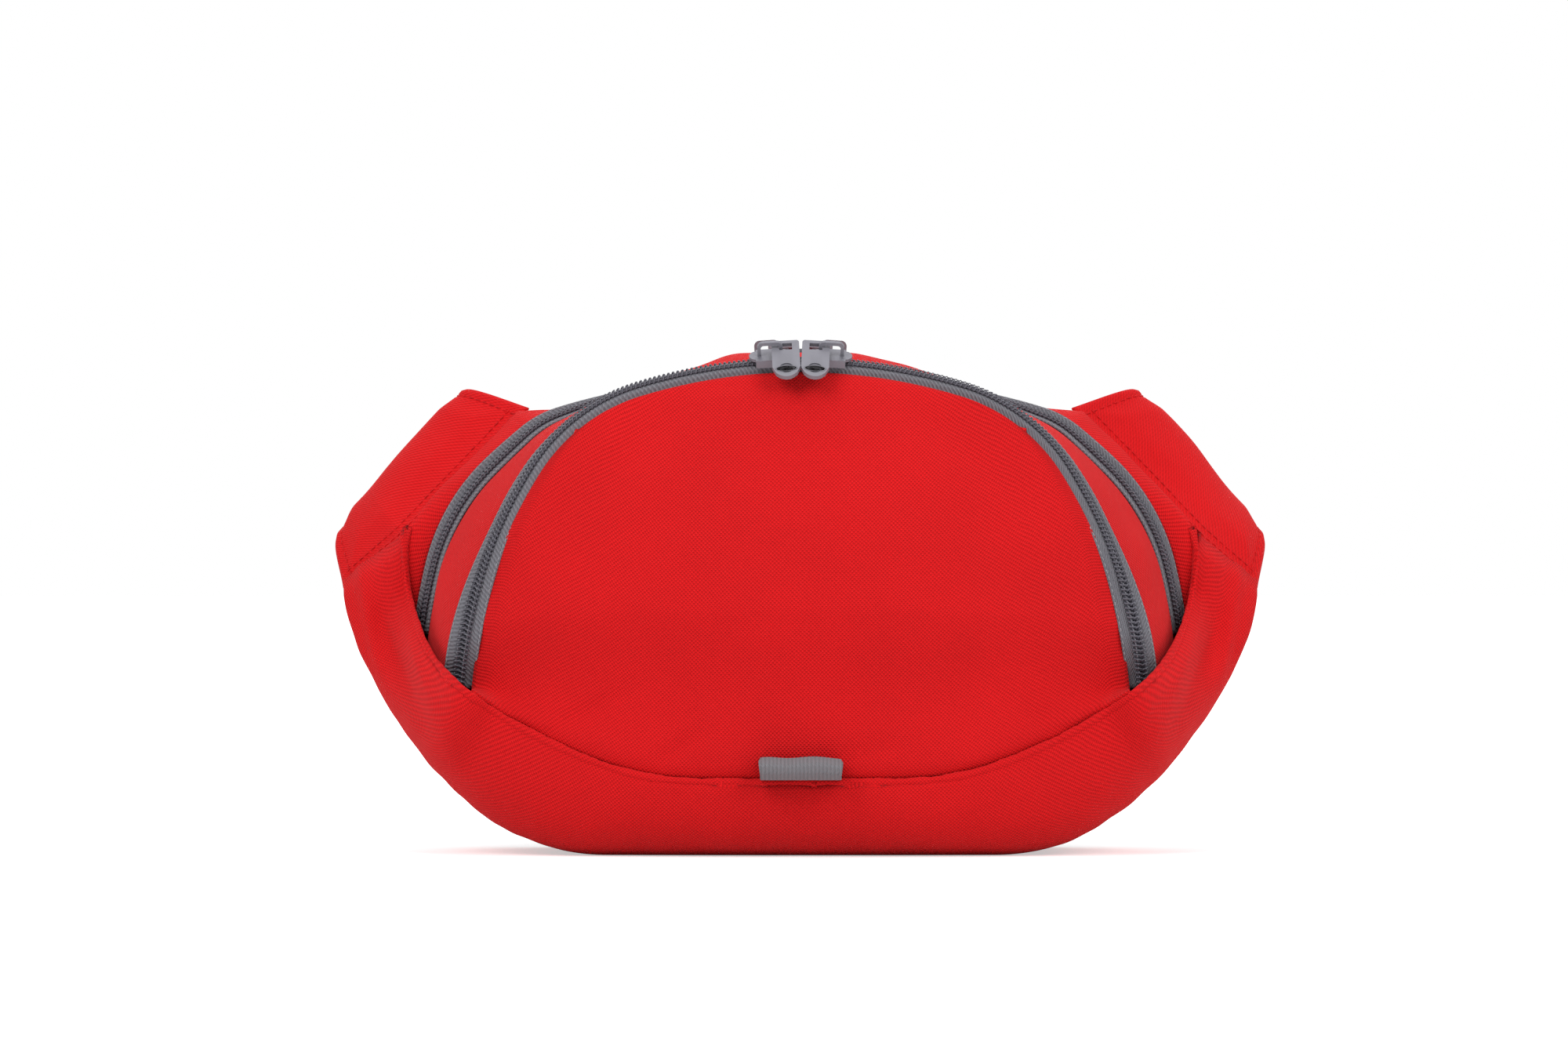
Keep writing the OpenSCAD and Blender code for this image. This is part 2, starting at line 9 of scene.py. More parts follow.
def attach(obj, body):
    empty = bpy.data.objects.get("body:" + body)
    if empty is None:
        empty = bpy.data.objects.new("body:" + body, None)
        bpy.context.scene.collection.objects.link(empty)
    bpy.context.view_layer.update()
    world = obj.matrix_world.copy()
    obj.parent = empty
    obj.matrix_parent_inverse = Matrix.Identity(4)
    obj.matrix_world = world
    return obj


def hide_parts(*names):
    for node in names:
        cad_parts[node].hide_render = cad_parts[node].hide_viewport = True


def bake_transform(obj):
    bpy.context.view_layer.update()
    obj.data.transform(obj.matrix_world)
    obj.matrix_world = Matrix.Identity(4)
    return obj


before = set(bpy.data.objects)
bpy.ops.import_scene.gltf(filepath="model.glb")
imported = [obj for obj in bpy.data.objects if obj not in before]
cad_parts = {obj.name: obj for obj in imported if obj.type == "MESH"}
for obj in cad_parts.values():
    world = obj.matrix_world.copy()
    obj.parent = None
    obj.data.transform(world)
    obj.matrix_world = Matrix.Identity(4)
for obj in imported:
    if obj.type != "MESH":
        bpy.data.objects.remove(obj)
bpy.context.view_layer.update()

MM = 0.001

# ---------------------------------------------------------------- outlines
# A chain of tangent arcs in the XZ plane: start height, straight lead, legs of (radius, heading
# at its end), and bend: -1 turns down from the middle, 1 turns up.
MAIN_CHAIN = (155.2, 0, ((175, 17), (60, 58), (160, 84.6)), -1)
REAR_CHAIN = (155.6, 0, ((172, 19.6), (3000, 20), (30, 41), (297, 44), (67, 76), (197, 81)), -1)
BACK_CHAIN = (159.6, 0, ((90, 16), (60, 22), (8600, 22.38), (73, 90)), -1)
BACK_LOW_CHAIN = (3.4, 66, ((60, 90), (1500, 90.9)), 1)
SEAM_CHAIN = (23.2, 0, ((215, 18), (125, 40), (45, 80), (150, 86)), 1)
OUTLINE_CHAIN = (0, 62, ((65.5, 40), (140, 65), (75, 80.7)), 1)
# Depths of the cradle's seam, of the middles of the two zips and of the back
SEAM_Y, MAIN_Y, REAR_Y, BACK_Y = -47.5, -33, 9, 37.3
# From a zip's middle to its outer edge, to its coil's edge and to the inner edge of either tape
HALF_ZIP, COIL_EDGE, TAPE_GAP = 5.2, 1.2, 0.15
TAPE_H = 0.42            # height of a tape above its zip's face
CLOTH_T, CRADLE_T = 1.2, 1.6
BELT_Y, BELT_Z, WEB_W, WEB_T = 99, 104, 38, 1.6
BACK_LOW_CUT = 27        # left off each end of the back's lower outline
WING_SEAM = np.array(((88.2, 22, 143.2), (128.4, 11.5, 101.6), (148.4, 20.5, 85)), dtype=float)


def legs_of(chain):
    """Each leg as (length, radius, first heading, last heading), headings in radians."""
    heading = 0.0
    for radius, end in chain[2]:
        end = math.radians(end)
        yield radius * (end - heading), radius, heading, end
        heading = end


def chain_length(chain):
    return chain[1] + sum(leg[0] for leg in legs_of(chain))


def chain_at(chain, s):
    """x, z and outward normal of a chain at the signed distance s from its middle."""
    z, lead, _, bend = chain
    side, left = (-1 if s < 0 else 1), abs(s)
    if left <= lead:
        return side * left, z, 0.0, -bend
    x, left = lead, left - lead
    legs = list(legs_of(chain))
    for i, (length, radius, a0, a1) in enumerate(legs):
        last = left <= length or i == len(legs) - 1
        a = a0 + left / radius if last else a1
        x += radius * (math.sin(a) - math.sin(a0))
        z += bend * radius * (math.cos(a0) - math.cos(a))
        if last:
            return side * x, z, side * math.sin(a), -bend * math.cos(a)
        left -= length


def smooth(x):
    x = min(max(x, 0.0), 1.0)
    return x * x * (3 - 2 * x)


def mix(a, b, f):
    return a * (1 - f) + b * f


def bell(x, width):
    """Bump of height 1 at x = 0 that fades over about the width."""
    return math.exp(-(x / width) ** 2)


def curve(a, b, c, f):
    """Point of the quadratic curve from a to c that b pulls."""
    return mix(mix(a, b, f), mix(b, c, f), f)


def main_tilt(s):
    return mix(58, 16, smooth((abs(s) - 112) / 52))


def rear_tilt(s):
    return mix(84, 56, smooth((abs(s) - 53) / 60))


def zip_point(chain, y0, tilt, s, w, h):
    """Point of a zip: s along it, w across it and h above its face."""
    x, z, nx, nz = chain_at(chain, s)
    t = math.radians(tilt(s))
    out = w * math.cos(t) + h * math.sin(t)
    return np.array((x + out * nx, y0 + w * math.sin(t) - h * math.cos(t), z + out * nz))


def main_zip(s, w, h):
    """Point of the main zip, whose ends sink behind the lip of the cradle."""
    tuck = 7 * smooth((abs(s) - MAIN_END + 19) / 17)
    return zip_point(MAIN_CHAIN, MAIN_Y + tuck, main_tilt, s, w, h)


def rear_zip(s, w, h):
    return zip_point(REAR_CHAIN, REAR_Y, rear_tilt, s, w, h)


MAIN_END, REAR_END = chain_length(MAIN_CHAIN), chain_length(REAR_CHAIN)
SEAM_END, OUTLINE_END = chain_length(SEAM_CHAIN), chain_length(OUTLINE_CHAIN)
BACK_END, BACK_LOW_END = chain_length(BACK_CHAIN), chain_length(BACK_LOW_CHAIN)


def cradle_edge_y(s):
    """Depth of the cradle's lip, which stands in front of the ends of the main zip."""
    lip = 8 * smooth((abs(s) - 98) / 14) * (1 - smooth((abs(s) - 126) / 26))
    return SEAM_Y + 10 * smooth((abs(s) - 40) / 70) + 47 * smooth((abs(s) - 104) / 46) - lip


def seam_point(s, lift):
    x, z, nx, nz = chain_at(SEAM_CHAIN, s)
    z += 2.6 * bell(s, 32) - 1.5 * bell(abs(s) - 52, 20)
    return np.array((x - lift * nx, cradle_edge_y(s), z - lift * nz))


def ripple(a, b, scale, seed=0.0):
    """Smooth noise from about -1 to 1 over a plane, its waves about scale long."""
    return noise.noise(Vector((a / scale + seed, b / scale - seed, seed * 0.7))) * 2


def spread(lo, hi, count):
    return [mix(lo, hi, i / (count - 1)) for i in range(count)]


# ---------------------------------------------------------------- mesh makers
def link(name, mesh, material, body=None):
    piece = bpy.data.objects.new(name, mesh)
    bpy.context.scene.collection.objects.link(piece)
    mesh.materials.append(material)
    mesh.shade_smooth()
    if body:
        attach(piece, body)
    return piece


def grid_mesh(name, points, turn=0.0):
    """Mesh over points[i][j] in millimetres, whose face looks along (i direction) x (j direction).
    Its UV layer holds millimetres along the cloth, turned by turn degrees."""
    points = np.asarray(points, dtype=float)
    n, m = points.shape[:2]
    mesh = bpy.data.meshes.new(name)
    quads = [((i, j), (i + 1, j), (i + 1, j + 1), (i, j + 1)) for i in range(n - 1) for j in range(m - 1)]
    faces = [[i * m + j for i, j in quad] for quad in quads]
    mesh.from_pydata((points.reshape(-1, 3) * MM).tolist(), [], faces)
    du = np.linalg.norm(np.diff(points, axis=0), axis=2)
    dv = np.linalg.norm(np.diff(points, axis=1), axis=2)
    u = np.vstack([np.zeros(m), np.cumsum(du, axis=0)])
    v = np.hstack([np.zeros((n, 1)), np.cumsum(dv, axis=1)])
    u -= u[n // 2]
    c, s = math.cos(math.radians(turn)), math.sin(math.radians(turn))
    flat = [(u[i, j] * c - v[i, j] * s, u[i, j] * s + v[i, j] * c) for quad in quads for i, j in quad]
    mesh.uv_layers.new(name="weave").data.foreach_set("uv", np.asarray(flat, dtype=float).ravel())
    mesh.update()
    return mesh


def thicken(piece, thickness, offset=-1.0):
    solid = piece.modifiers.new("thickness", "SOLIDIFY")
    solid.thickness = thickness * MM
    solid.offset = offset


def soften(piece, width, segments, angle):
    """Bevels the edges of a piece that are sharper than the angle in degrees."""
    bevel = piece.modifiers.new("edge", "BEVEL")
    bevel.width = width * MM
    bevel.segments = segments
    bevel.limit_method = "ANGLE"
    bevel.angle_limit = math.radians(angle)


def rings_mesh(name, tubes):
    """Mesh of capped tubes; each tube is a list of rings, each ring a list of points in mm."""
    verts, faces = [], []
    for rings in tubes:
        k, base = len(rings[0]), len(verts)
        for ring in rings:
            verts.extend(ring)
        for i in range(len(rings) - 1):
            a = base + i * k
            for j in range(k):
                faces.append((a + j, a + (j + 1) % k, a + k + (j + 1) % k, a + k + j))
        faces.append(tuple(base + j for j in range(k))[::-1])
        faces.append(tuple(base + (len(rings) - 1) * k + j for j in range(k)))
    mesh = bpy.data.meshes.new(name)
    mesh.from_pydata((np.asarray(verts, dtype=float) * MM).tolist(), [], faces)
    mesh.update()
    return mesh


def tube_rings(path, radius, sides=6, up=(0, 0, 1)):
    """Rings of a round tube along a path; radius is a number or a list with one for each point."""
    p = np.asarray(path, dtype=float)
    tangent = np.gradient(p, axis=0)
    tangent /= np.linalg.norm(tangent, axis=1)[:, None]
    side = np.cross(tangent, np.asarray(up, dtype=float))
    side /= np.maximum(np.linalg.norm(side, axis=1), 1e-9)[:, None]
    lift = np.cross(side, tangent)
    r = np.broadcast_to(np.asarray(radius, dtype=float), (len(p),))
    angles = np.arange(sides) * 2 * math.pi / sides
    return [[p[i] + r[i] * (math.cos(t) * side[i] + math.sin(t) * lift[i]) for t in angles]
            for i in range(len(p))]


def stitch_rings(path, outs, pitch=2.6, gap=0.7, radius=0.22):
    """Tubes of the stitches along a path of points, each point with its outward direction."""
    p, o = np.asarray(path, dtype=float), np.asarray(outs, dtype=float)
    o = o / np.linalg.norm(o, axis=1)[:, None]
    run = np.concatenate([[0], np.cumsum(np.linalg.norm(np.diff(p, axis=0), axis=1))])
    count = max(int(run[-1] / pitch), 1)
    step = run[-1] / count
    tubes = []
    for k in range(count):
        d = np.linspace(k * step + gap / 2, (k + 1) * step - gap / 2, 5)
        spots = np.stack([np.interp(d, run, p[:, a]) for a in range(3)], axis=1)
        out = np.stack([np.interp(d, run, o[:, a]) for a in range(3)], axis=1)
        spots += out * (np.array([-0.6, 0.35, 0.6, 0.35, -0.6])[:, None] * radius)
        tubes.append(tube_rings(spots, [radius * 0.6, radius, radius, radius, radius * 0.6], 5, out[2]))
    return tubes


def outward_of(grid, i, j):
    """Outward direction of a grid of points at i, j."""
    n, m = grid.shape[:2]
    a = grid[min(i + 1, n - 1), j] - grid[max(i - 1, 0), j]
    b = grid[i, min(j + 1, m - 1)] - grid[i, max(j - 1, 0)]
    c = np.cross(a, b)
    return c / max(np.linalg.norm(c), 1e-9)


def surface_stitches(grid, line, lift, **kind):
    """Stitches on a grid surface along line, a list of fractional (i, j) places."""
    spots, outs = [], []
    for a, b in line:
        i, j = min(int(a), grid.shape[0] - 2), min(int(b), grid.shape[1] - 2)
        f, g = a - i, b - j
        spot = mix(mix(grid[i, j], grid[i + 1, j], f), mix(grid[i, j + 1], grid[i + 1, j + 1], f), g)
        out = outward_of(grid, min(round(a), grid.shape[0] - 1), min(round(b), grid.shape[1] - 1))
        spots.append(spot + lift * out)
        outs.append(out)
    return stitch_rings(spots, outs, **kind)


def cloth(name, grid, material, body, slot, thickness, *nodes, turn=0.0):
    """Sheet of cloth over a grid of points, in place of the CAD nodes named."""
    piece = link(name, grid_mesh(name, grid, turn), material, body)
    thicken(piece, thickness)
    if nodes:
        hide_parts(*nodes)
    return piece


def tubes_piece(name, tubes, material, body):
    """Stitches, coils, rims and other closed tubes as one piece."""
    piece = link(name, rings_mesh(name, tubes), material, body)
    return piece


# ---------------------------------------------------------------- materials
class Value:
    """Output of a node, which sums, products and waves can be written with."""

    def __init__(self, nodes, socket):
        self.nodes = nodes
        self.socket = socket

    def __add__(self, other):
        return self.nodes.math("ADD", self, other)

    def __sub__(self, other):
        return self.nodes.math("SUBTRACT", self, other)

    def __mul__(self, other):
        return self.nodes.math("MULTIPLY", self, other)

    def wave(self, length):
        """Sine of this value, with one wave for each length of it."""
        return self.nodes.math("SINE", self * (2 * math.pi / length))


class Nodes:
    """Short names for building the nodes of a material or of the world."""

    def __init__(self, owner, shader):
        owner.use_nodes = True
        self.owner = owner
        self.tree = owner.node_tree
        self.shader = self.tree.nodes[shader]

    def add(self, kind, **settings):
        node = self.tree.nodes.new("ShaderNode" + kind)
        for key, value in settings.items():
            setattr(node, key, value)
        return node

    def put(self, node, name, value):
        """Links an output into a node's input, or sets the input's value."""
        if isinstance(value, Value):
            self.tree.links.new(value.socket, node.inputs[name])
        else:
            node.inputs[name].default_value = value

    def out(self, node, name=0):
        return Value(self, node.outputs[name])

    def math(self, operation, a, b=0.0):
        node = self.add("Math", operation=operation)
        self.put(node, 0, a)
        self.put(node, 1, b)
        return self.out(node)

    def noise(self, vector, scale, detail=3.0, rough=0.5):
        node = self.add("TexNoise")
        self.put(node, "Vector", vector)
        self.put(node, "Scale", scale)
        self.put(node, "Detail", detail)
        self.put(node, "Roughness", rough)
        return self.out(node, "Fac")

    def place(self):
        """Where the surface is at rest, in metres."""
        return self.out(self.add("TexCoord"), "Object")

    def cloth_place(self):
        """Millimetres along and across the cloth."""
        node = self.add("SeparateXYZ")
        self.put(node, 0, self.out(self.add("UVMap", uv_map="weave")))
        return self.out(node, 0), self.out(node, 1)

    def colours(self, factor, dark, light, low=0.0, high=1.0):
        node = self.add("ValToRGB")
        self.put(node, 0, factor)
        for stop, place, colour in zip(node.color_ramp.elements, (low, high), (dark, light)):
            stop.position = place
            stop.color = (*colour, 1)
        return self.out(node)

    def bump(self, height, distance, strength, normal=None):
        node = self.add("Bump")
        self.put(node, "Height", height)
        self.put(node, "Distance", distance)
        self.put(node, "Strength", strength)
        if normal is not None:
            self.put(node, "Normal", normal)
        return self.out(node)

    def finish(self, colour, rough, normal=None, **plain):
        """Sets the shader's inputs: an underscore in a name stands for a space."""
        self.put(self.shader, "Base Color", colour)
        self.put(self.shader, "Roughness", rough)
        if normal is not None:
            self.put(self.shader, "Normal", normal)
        for name, value in plain.items():
            self.put(self.shader, name.replace("_", " "), value)
        return self.owner


def surface(name):
    """Nodes of a new material."""
    return Nodes(bpy.data.materials.new(name), "Principled BSDF")


def srgb(r, g, b):
    """Linear colour of an 8-bit screen colour."""
    return tuple((c / 12.92 if c <= 0.04045 else ((c + 0.055) / 1.055) ** 2.4)
                 for c in (r / 255, g / 255, b / 255))


def scaled(colour, f):
    return tuple(min(c * f, 1.0) for c in colour)


def woven(name, colour, thread=0.62, twill=False, depth=0.16, contrast=0.8, sheen=0.16, rough=0.85,
          crease=0.3):
    """Woven cloth: threads in the UV layer's millimetres, slubs, and slow changes of shade."""
    n = surface(name)
    u, v = n.cloth_place()
    spot = n.place()
    drift = n.noise(spot, 120.0, 2.0)
    u, v = u + drift * 0.8, v + drift * 0.7
    warp = u.wave(2 * thread)
    if twill:
        weave = (u + v).wave(2 * thread / 0.72) + warp * 0.35
    else:
        weave = warp * v.wave(2 * thread) + v.wave(thread) * 0.25
    fleck = n.noise(spot, 2600.0, 2.0, 0.6) - 0.5
    loose = n.noise(spot, 900.0, 3.0, 0.6) - 0.5 + fleck
    broad = n.noise(spot, 28.0, 3.0) - 0.5
    shade = weave * (0.5 * contrast) + 0.5 + loose * (0.22 * contrast) + broad * 0.3
    shown = n.colours(shade, scaled(colour, 0.62), scaled(colour, 1.26))
    soft = n.bump(n.noise(spot, 70.0, 4.0, 0.55), 0.9 * MM, crease)
    normal = n.bump(weave + loose * 0.35, depth * MM, 0.8, soft)
    tint = tuple(0.25 + 0.75 * c / max(colour) for c in colour) + (1,)
    return n.finish(shown, fleck * -0.12 + rough, normal, Sheen_Weight=sheen, Sheen_Roughness=0.45,
                    Sheen_Tint=tint, Specular_IOR_Level=0.14)


def webbing(name, colour, rib, depth):
    """Ribbed strap webbing: ribs across it, herringbone threads and pale wear on the ribs."""
    n = surface(name)
    u, v = n.cloth_place()
    lean = n.math("PINGPONG", v, 2.6) * 1.6
    slub = n.noise(n.place(), 1800.0, 3.0, 0.6)
    height = u.wave(rib) * 0.8 + (u + lean).wave(0.7) * 0.35 + slub * 0.5
    shown = n.colours(height * 0.16 + 0.42, scaled(colour, 0.6), scaled(colour, 1.35), 0.1, 0.9)
    return n.finish(shown, 0.72, n.bump(height, depth * MM, 0.8), Sheen_Weight=0.15,
                    Specular_IOR_Level=0.35)


def netting(name, colour, cell, behind_in_shade=None):
    """Knitted mesh: a honeycomb of open cells, dark with painted shade where the holes go through to what is
    behind.
    """
    n = surface(name)
    u, v = n.cloth_place()
    fuzz = n.noise(n.place(), 2600.0, 3.0, 0.6)
    slant = n.math("COSINE", (u + v) * (math.pi / cell))
    height = u.wave(cell) * v.wave(cell) + slant * 0.5 + fuzz * 0.5
    # Painted shade in the holes: the given colour of what is behind, else the mesh's own colour at 0.3
    shown = n.colours(height, behind_in_shade or scaled(colour, 0.3), scaled(colour, 1.1), 0.15, 0.75)
    return n.finish(shown, 0.78, n.bump(height, 0.35 * MM, 0.8), Sheen_Weight=0.2,
                    Specular_IOR_Level=0.3)


def plastic(name, colour, rough, grain, metallic=0.0, wear=0.3):
    """Moulded plastic or painted cast metal: fine grain, faint streaks and paler worn edges."""
    n = surface(name)
    spot = n.place()
    fine = n.noise(spot, grain, 4.0, 0.6)
    edge = n.out(n.add("NewGeometry"), "Pointiness")
    worn = n.math("MAXIMUM", (edge - 0.52) * (6.0 * wear), 0.0)
    shade = n.noise(spot, 90.0, 3.0) * 0.5 + 0.25 + worn
    shown = n.colours(shade, scaled(colour, 0.8), scaled(colour, 1.25), 0.1, 0.95)
    return n.finish(shown, fine * 0.2 + (rough - 0.1), n.bump(fine, 0.03 * MM, 0.5), Metallic=metallic)


def brushed(name, colour):
    """Brushed steel with long fine scratches."""
    n = surface(name)
    stretch = n.add("Mapping")
    n.put(stretch, "Vector", n.place())
    n.put(stretch, "Scale", (3000.0, 3000.0, 120.0))
    fine = n.noise(n.out(stretch), 1.0, 4.0, 0.7)
    shown = n.colours(fine, scaled(colour, 0.82), scaled(colour, 1.12), 0.2, 0.8)
    return n.finish(shown, fine * 0.25 + 0.2, n.bump(fine, 0.01 * MM, 0.5), Metallic=1.0)


def wrapper(name, colour, rough, crinkle, metallic=0.0, alpha=1.0):
    """Crinkled paper, film or foil."""
    n = surface(name)
    spot = n.place()
    folds = n.add("TexVoronoi", feature="DISTANCE_TO_EDGE")
    n.put(folds, "Vector", spot)
    n.put(folds, "Scale", 95.0)
    soft = n.noise(spot, 160.0, 4.0, 0.6)
    height = n.out(folds) * 1.5 + soft
    shown = n.colours(soft, scaled(colour, 0.85), scaled(colour, 1.08), 0.25, 0.75)
    return n.finish(shown, soft * 0.2 + (rough - 0.05), n.bump(height, 0.9 * MM, crinkle),
                    Metallic=metallic, Alpha=alpha)


def crepe(name, colour, pitch=0.9):
    """Stretch bandage: crinkled cotton with ribs round the roll."""
    n = surface(name)
    u, v = n.cloth_place()
    fuzz = n.noise(n.place(), 1400.0, 4.0, 0.65)
    height = v.wave(pitch) * u.wave(pitch * 1.4) + fuzz * 1.5
    shown = n.colours(height * 0.25 + 0.3, scaled(colour, 0.75), colour, 0.1, 0.9)
    return n.finish(shown, 0.9, n.bump(height, 0.3 * MM, 0.8), Sheen_Weight=0.2,
                    Specular_IOR_Level=0.15)


RED = srgb(224, 24, 28)
RED_CLOTH = woven("red_weave", RED)
RED_TWILL = woven("red_twill", scaled(RED, 0.97), 0.5, twill=True, contrast=0.35, depth=0.1)
RED_LINING = woven("red_lining", srgb(168, 18, 26), 0.4, depth=0.05, contrast=0.2, rough=0.6)
TAPE = woven("grey_zip_tape", srgb(126, 125, 132), 0.6, twill=True, contrast=0.55, sheen=0.1, crease=0.0)
BINDING = woven("grey_binding", srgb(96, 96, 102), 0.5, depth=0.1, contrast=0.4)
BLACK_CLOTH = woven("black_elastic", srgb(42, 42, 46), 0.7, depth=0.12, contrast=0.5)
RED_THREAD = woven("red_thread", scaled(RED, 0.72), 0.3, depth=0.04, sheen=0.1, rough=0.6)
GREY_THREAD = plastic("grey_thread", srgb(150, 150, 155), 0.6, 3000.0, wear=0.0)
DARK_THREAD = plastic("dark_thread", srgb(52, 51, 56), 0.6, 3000.0, wear=0.0)
COIL_THREAD = plastic("coil_thread", srgb(112, 112, 120), 0.6, 3000.0, wear=0.0)
COIL = plastic("coil_nylon", srgb(80, 78, 88), 0.42, 2600.0, wear=0.2)
METAL = plastic("slider_zinc", srgb(110, 109, 117), 0.5, 2200.0, metallic=0.25, wear=0.8)
TAB = plastic("tab_zinc", srgb(116, 115, 123), 0.55, 2400.0, metallic=0.1, wear=0.8)
DARK_ZINC = plastic("dark_zinc", srgb(44, 43, 49), 0.6, 2400.0, metallic=0.1, wear=0.4)
LOOP_WEB = webbing("loop_webbing", srgb(128, 127, 132), 1.2, 0.2)
BELT_WEB = webbing("belt_webbing", srgb(46, 46, 51), 1.5, 0.25)
BLACK_PLASTIC = plastic("buckle_acetal", srgb(40, 40, 44), 0.4, 1800.0, wear=0.5)
# The back mesh's holes are painted shade, a darker copy of its own grey
BACK_MESH = netting("back_mesh", srgb(92, 92, 98), 2.8)
# The pocket net's holes show the red cloth behind: its real colour, darkened with painted shade
POCKET_NET = netting("pocket_net", srgb(60, 60, 66), 3.2, srgb(150, 22, 28))
CREPE = crepe("crepe_cotton", srgb(228, 208, 176))
GAUZE = crepe("gauze_cotton", srgb(240, 240, 234), 1.4)
PAPER = wrapper("sachet_paper", srgb(228, 232, 236), 0.6, crinkle=0.25)
FILM = wrapper("clear_film", srgb(196, 216, 228), 0.18, crinkle=0.6, alpha=0.55)
FOIL = wrapper("foil_film", srgb(196, 199, 206), 0.22, metallic=1.0, crinkle=0.9)
STEEL = brushed("steel_brushed", srgb(196, 198, 204))
VIAL = plastic("vial_polyethylene", srgb(206, 230, 222), 0.3, 800.0, wear=0.0)


# ---------------------------------------------------------------- bag panels
PANEL_W, PANEL_H, SHOULDER = -HALF_ZIP + 1, -0.7, 76
FLAP_CORNER = main_zip(MAIN_END - 1, PANEL_W, PANEL_H)
# Soft folds of the front cloth: middle x and z, lean in degrees, half length, half width, height
FRONT_FOLDS = ((-66, 46, 28, 13, 3.2, -0.9), (-37, 35, 32, 9, 2.6, -0.7), (-88, 62, 66, 16, 5, -0.7),
               (74, 44, -34, 14, 4, -0.7), (92, 66, -68, 18, 5, -0.6), (18, 33, 8, 16, 3.4, -0.5),
               (-8, 146, 4, 30, 3.5, 0.35), (52, 128, -40, 22, 5, -0.4), (-60, 122, 42, 24, 5, -0.4))


def fold_marks(x, z, folds):
    total = 0.0
    for mid_x, mid_z, lean, length, width, height in folds:
        c, s = math.cos(math.radians(lean)), math.sin(math.radians(lean))
        along, across = (x - mid_x) * c + (z - mid_z) * s, (z - mid_z) * c - (x - mid_x) * s
        total += height * bell(along, length) * bell(across, width)
    return total


def fold_point(u):
    return np.array((FLAP_CORNER[0] * u, mix(SEAM_Y, FLAP_CORNER[1], abs(u) ** 2.4), FLAP_CORNER[2]))


def flap_top(u):
    return main_zip(u * SHOULDER, PANEL_W, PANEL_H)


def flap_side(u, v):
    return main_zip(u * mix(MAIN_END - 1, SHOULDER, v), PANEL_W, PANEL_H)


def flap_point(u, v):
    """Patch of cloth inside the main zip: u from left to right, v from the fold line up."""
    a = (u + 1) / 2
    corners = mix(mix(fold_point(-1), fold_point(1), a), mix(flap_top(-1), flap_top(1), a), v)
    point = mix(fold_point(u), flap_top(u), v) + mix(flap_side(-1, v), flap_side(1, v), a) - corners
    point[1] -= 4.2 * (1 - u * u) * 4 * v * (1 - v)
    return point


def seam_below(x):
    """Distance along the seam at which it passes the given x."""
    low, high = -SEAM_END, SEAM_END
    for _ in range(40):
        mid = (low + high) / 2
        low, high = (mid, high) if chain_at(SEAM_CHAIN, mid)[0] < x else (low, mid)
    return low


def eased(rows, first, last, rounds=40):
    """Rounds off the depth of the rows from first to last of a grid, keeping its border."""
    for _ in range(rounds):
        y = rows[:, :, 1]
        soft = (y[:, first - 1:last - 1] + y[:, first + 1:last + 1]) / 2
        y[:, first:last] += 0.5 * (soft - y[:, first:last])


def front_grid():
    columns = []
    for u in spread(-1, 1, 141):
        top = fold_point(u)
        s = seam_below(top[0] * 0.992)
        low = seam_point(s, 0)
        nx, nz = chain_at(SEAM_CHAIN, s)[2:]
        column = [low + np.array((1.8 * nx, 2.2, 1.8 * nz)), low + np.array((0, 1.7, 0))]
        for f in spread(0.06, 0.94, 13):
            dip = 1.5 * math.exp(-f * max(top[2] - low[2], 1) / 2.2)
            column.append(mix(low, top, f) + np.array((0, dip - 0.8 * math.sin(math.pi * f), 0)))
        column += [flap_point(u, v) for v in spread(0, 1, 66)]
        columns.append(column)
    grid = np.array(columns)
    eased(grid, 6, 30)
    for column in grid:
        for point in column[2:-1]:
            inside = smooth((chain_at(MAIN_CHAIN, 0)[1] - point[2]) / 12) * smooth((108 - abs(point[0])) / 14)
            wave = 0.55 * ripple(point[0], point[2] * 0.6, 46, 3) + 0.25 * ripple(point[0], point[2], 17, 8)
            point[1] -= inside * (wave + 1.6 * fold_marks(point[0], point[2], FRONT_FOLDS))
    return grid


def front_cloth():
    """Front panel and flap in one cloth, shaped with a bend at the fold line."""
    piece = link("front_cloth", grid_mesh("front_cloth", front_grid()), RED_CLOTH)
    thicken(piece, CLOTH_T)
    with bpy.context.temp_override(object=piece, active_object=piece, selected_objects=[piece]):
        bpy.ops.object.modifier_apply(modifier="thickness")
    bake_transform(piece)
    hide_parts("front_panel", "front_panel_lower")


def coil_half_width(s):
    return mix(1.1, 2.05, smooth((abs(s) - 60) / 90))


def bent_strip(at, s, w, turn):
    """Point of a zip tape that bends towards the front by turn degrees past the coil's edge."""
    if abs(w) <= COIL_EDGE:
        return at(s, w, TAPE_H)
    side = 1 if w > 0 else -1
    start = at(s, side * COIL_EDGE, TAPE_H)
    across = at(s, side, 0) - at(s, 0, 0)
    up = at(s, 0, 1) - at(s, 0, 0)
    past = abs(w) - COIL_EDGE
    a = math.radians(turn) * smooth(past / 2.2)
    return start + past * (across * math.cos(a) + side * up * math.sin(a))


def tape(name, at, side, width, s_end, body, turn=lambda s: 0.0):
    """Zip tape of twill, with the row of stitches that holds its outer edge down."""
    across, inset = 12, 0.45
    span = np.linspace(*sorted((side * TAPE_GAP, side * width)), across + 1)
    grid = np.array([[bent_strip(at, s, w, turn(s)) for w in span] for s in spread(-s_end, s_end, 240)])
    cloth(name + "_cloth", grid, TAPE, body, "grey_tape", 0.7, name, turn=12)
    line = (width - inset - TAPE_GAP) / (width - TAPE_GAP) * across
    line = line if side > 0 else across - line
    seam = [(i, line) for i in np.linspace(2, 237, 300)]
    tubes = surface_stitches(grid, seam, 0.02, pitch=2.1, radius=0.16)
    tubes_piece(name + "_stitches", tubes, GREY_THREAD, body)


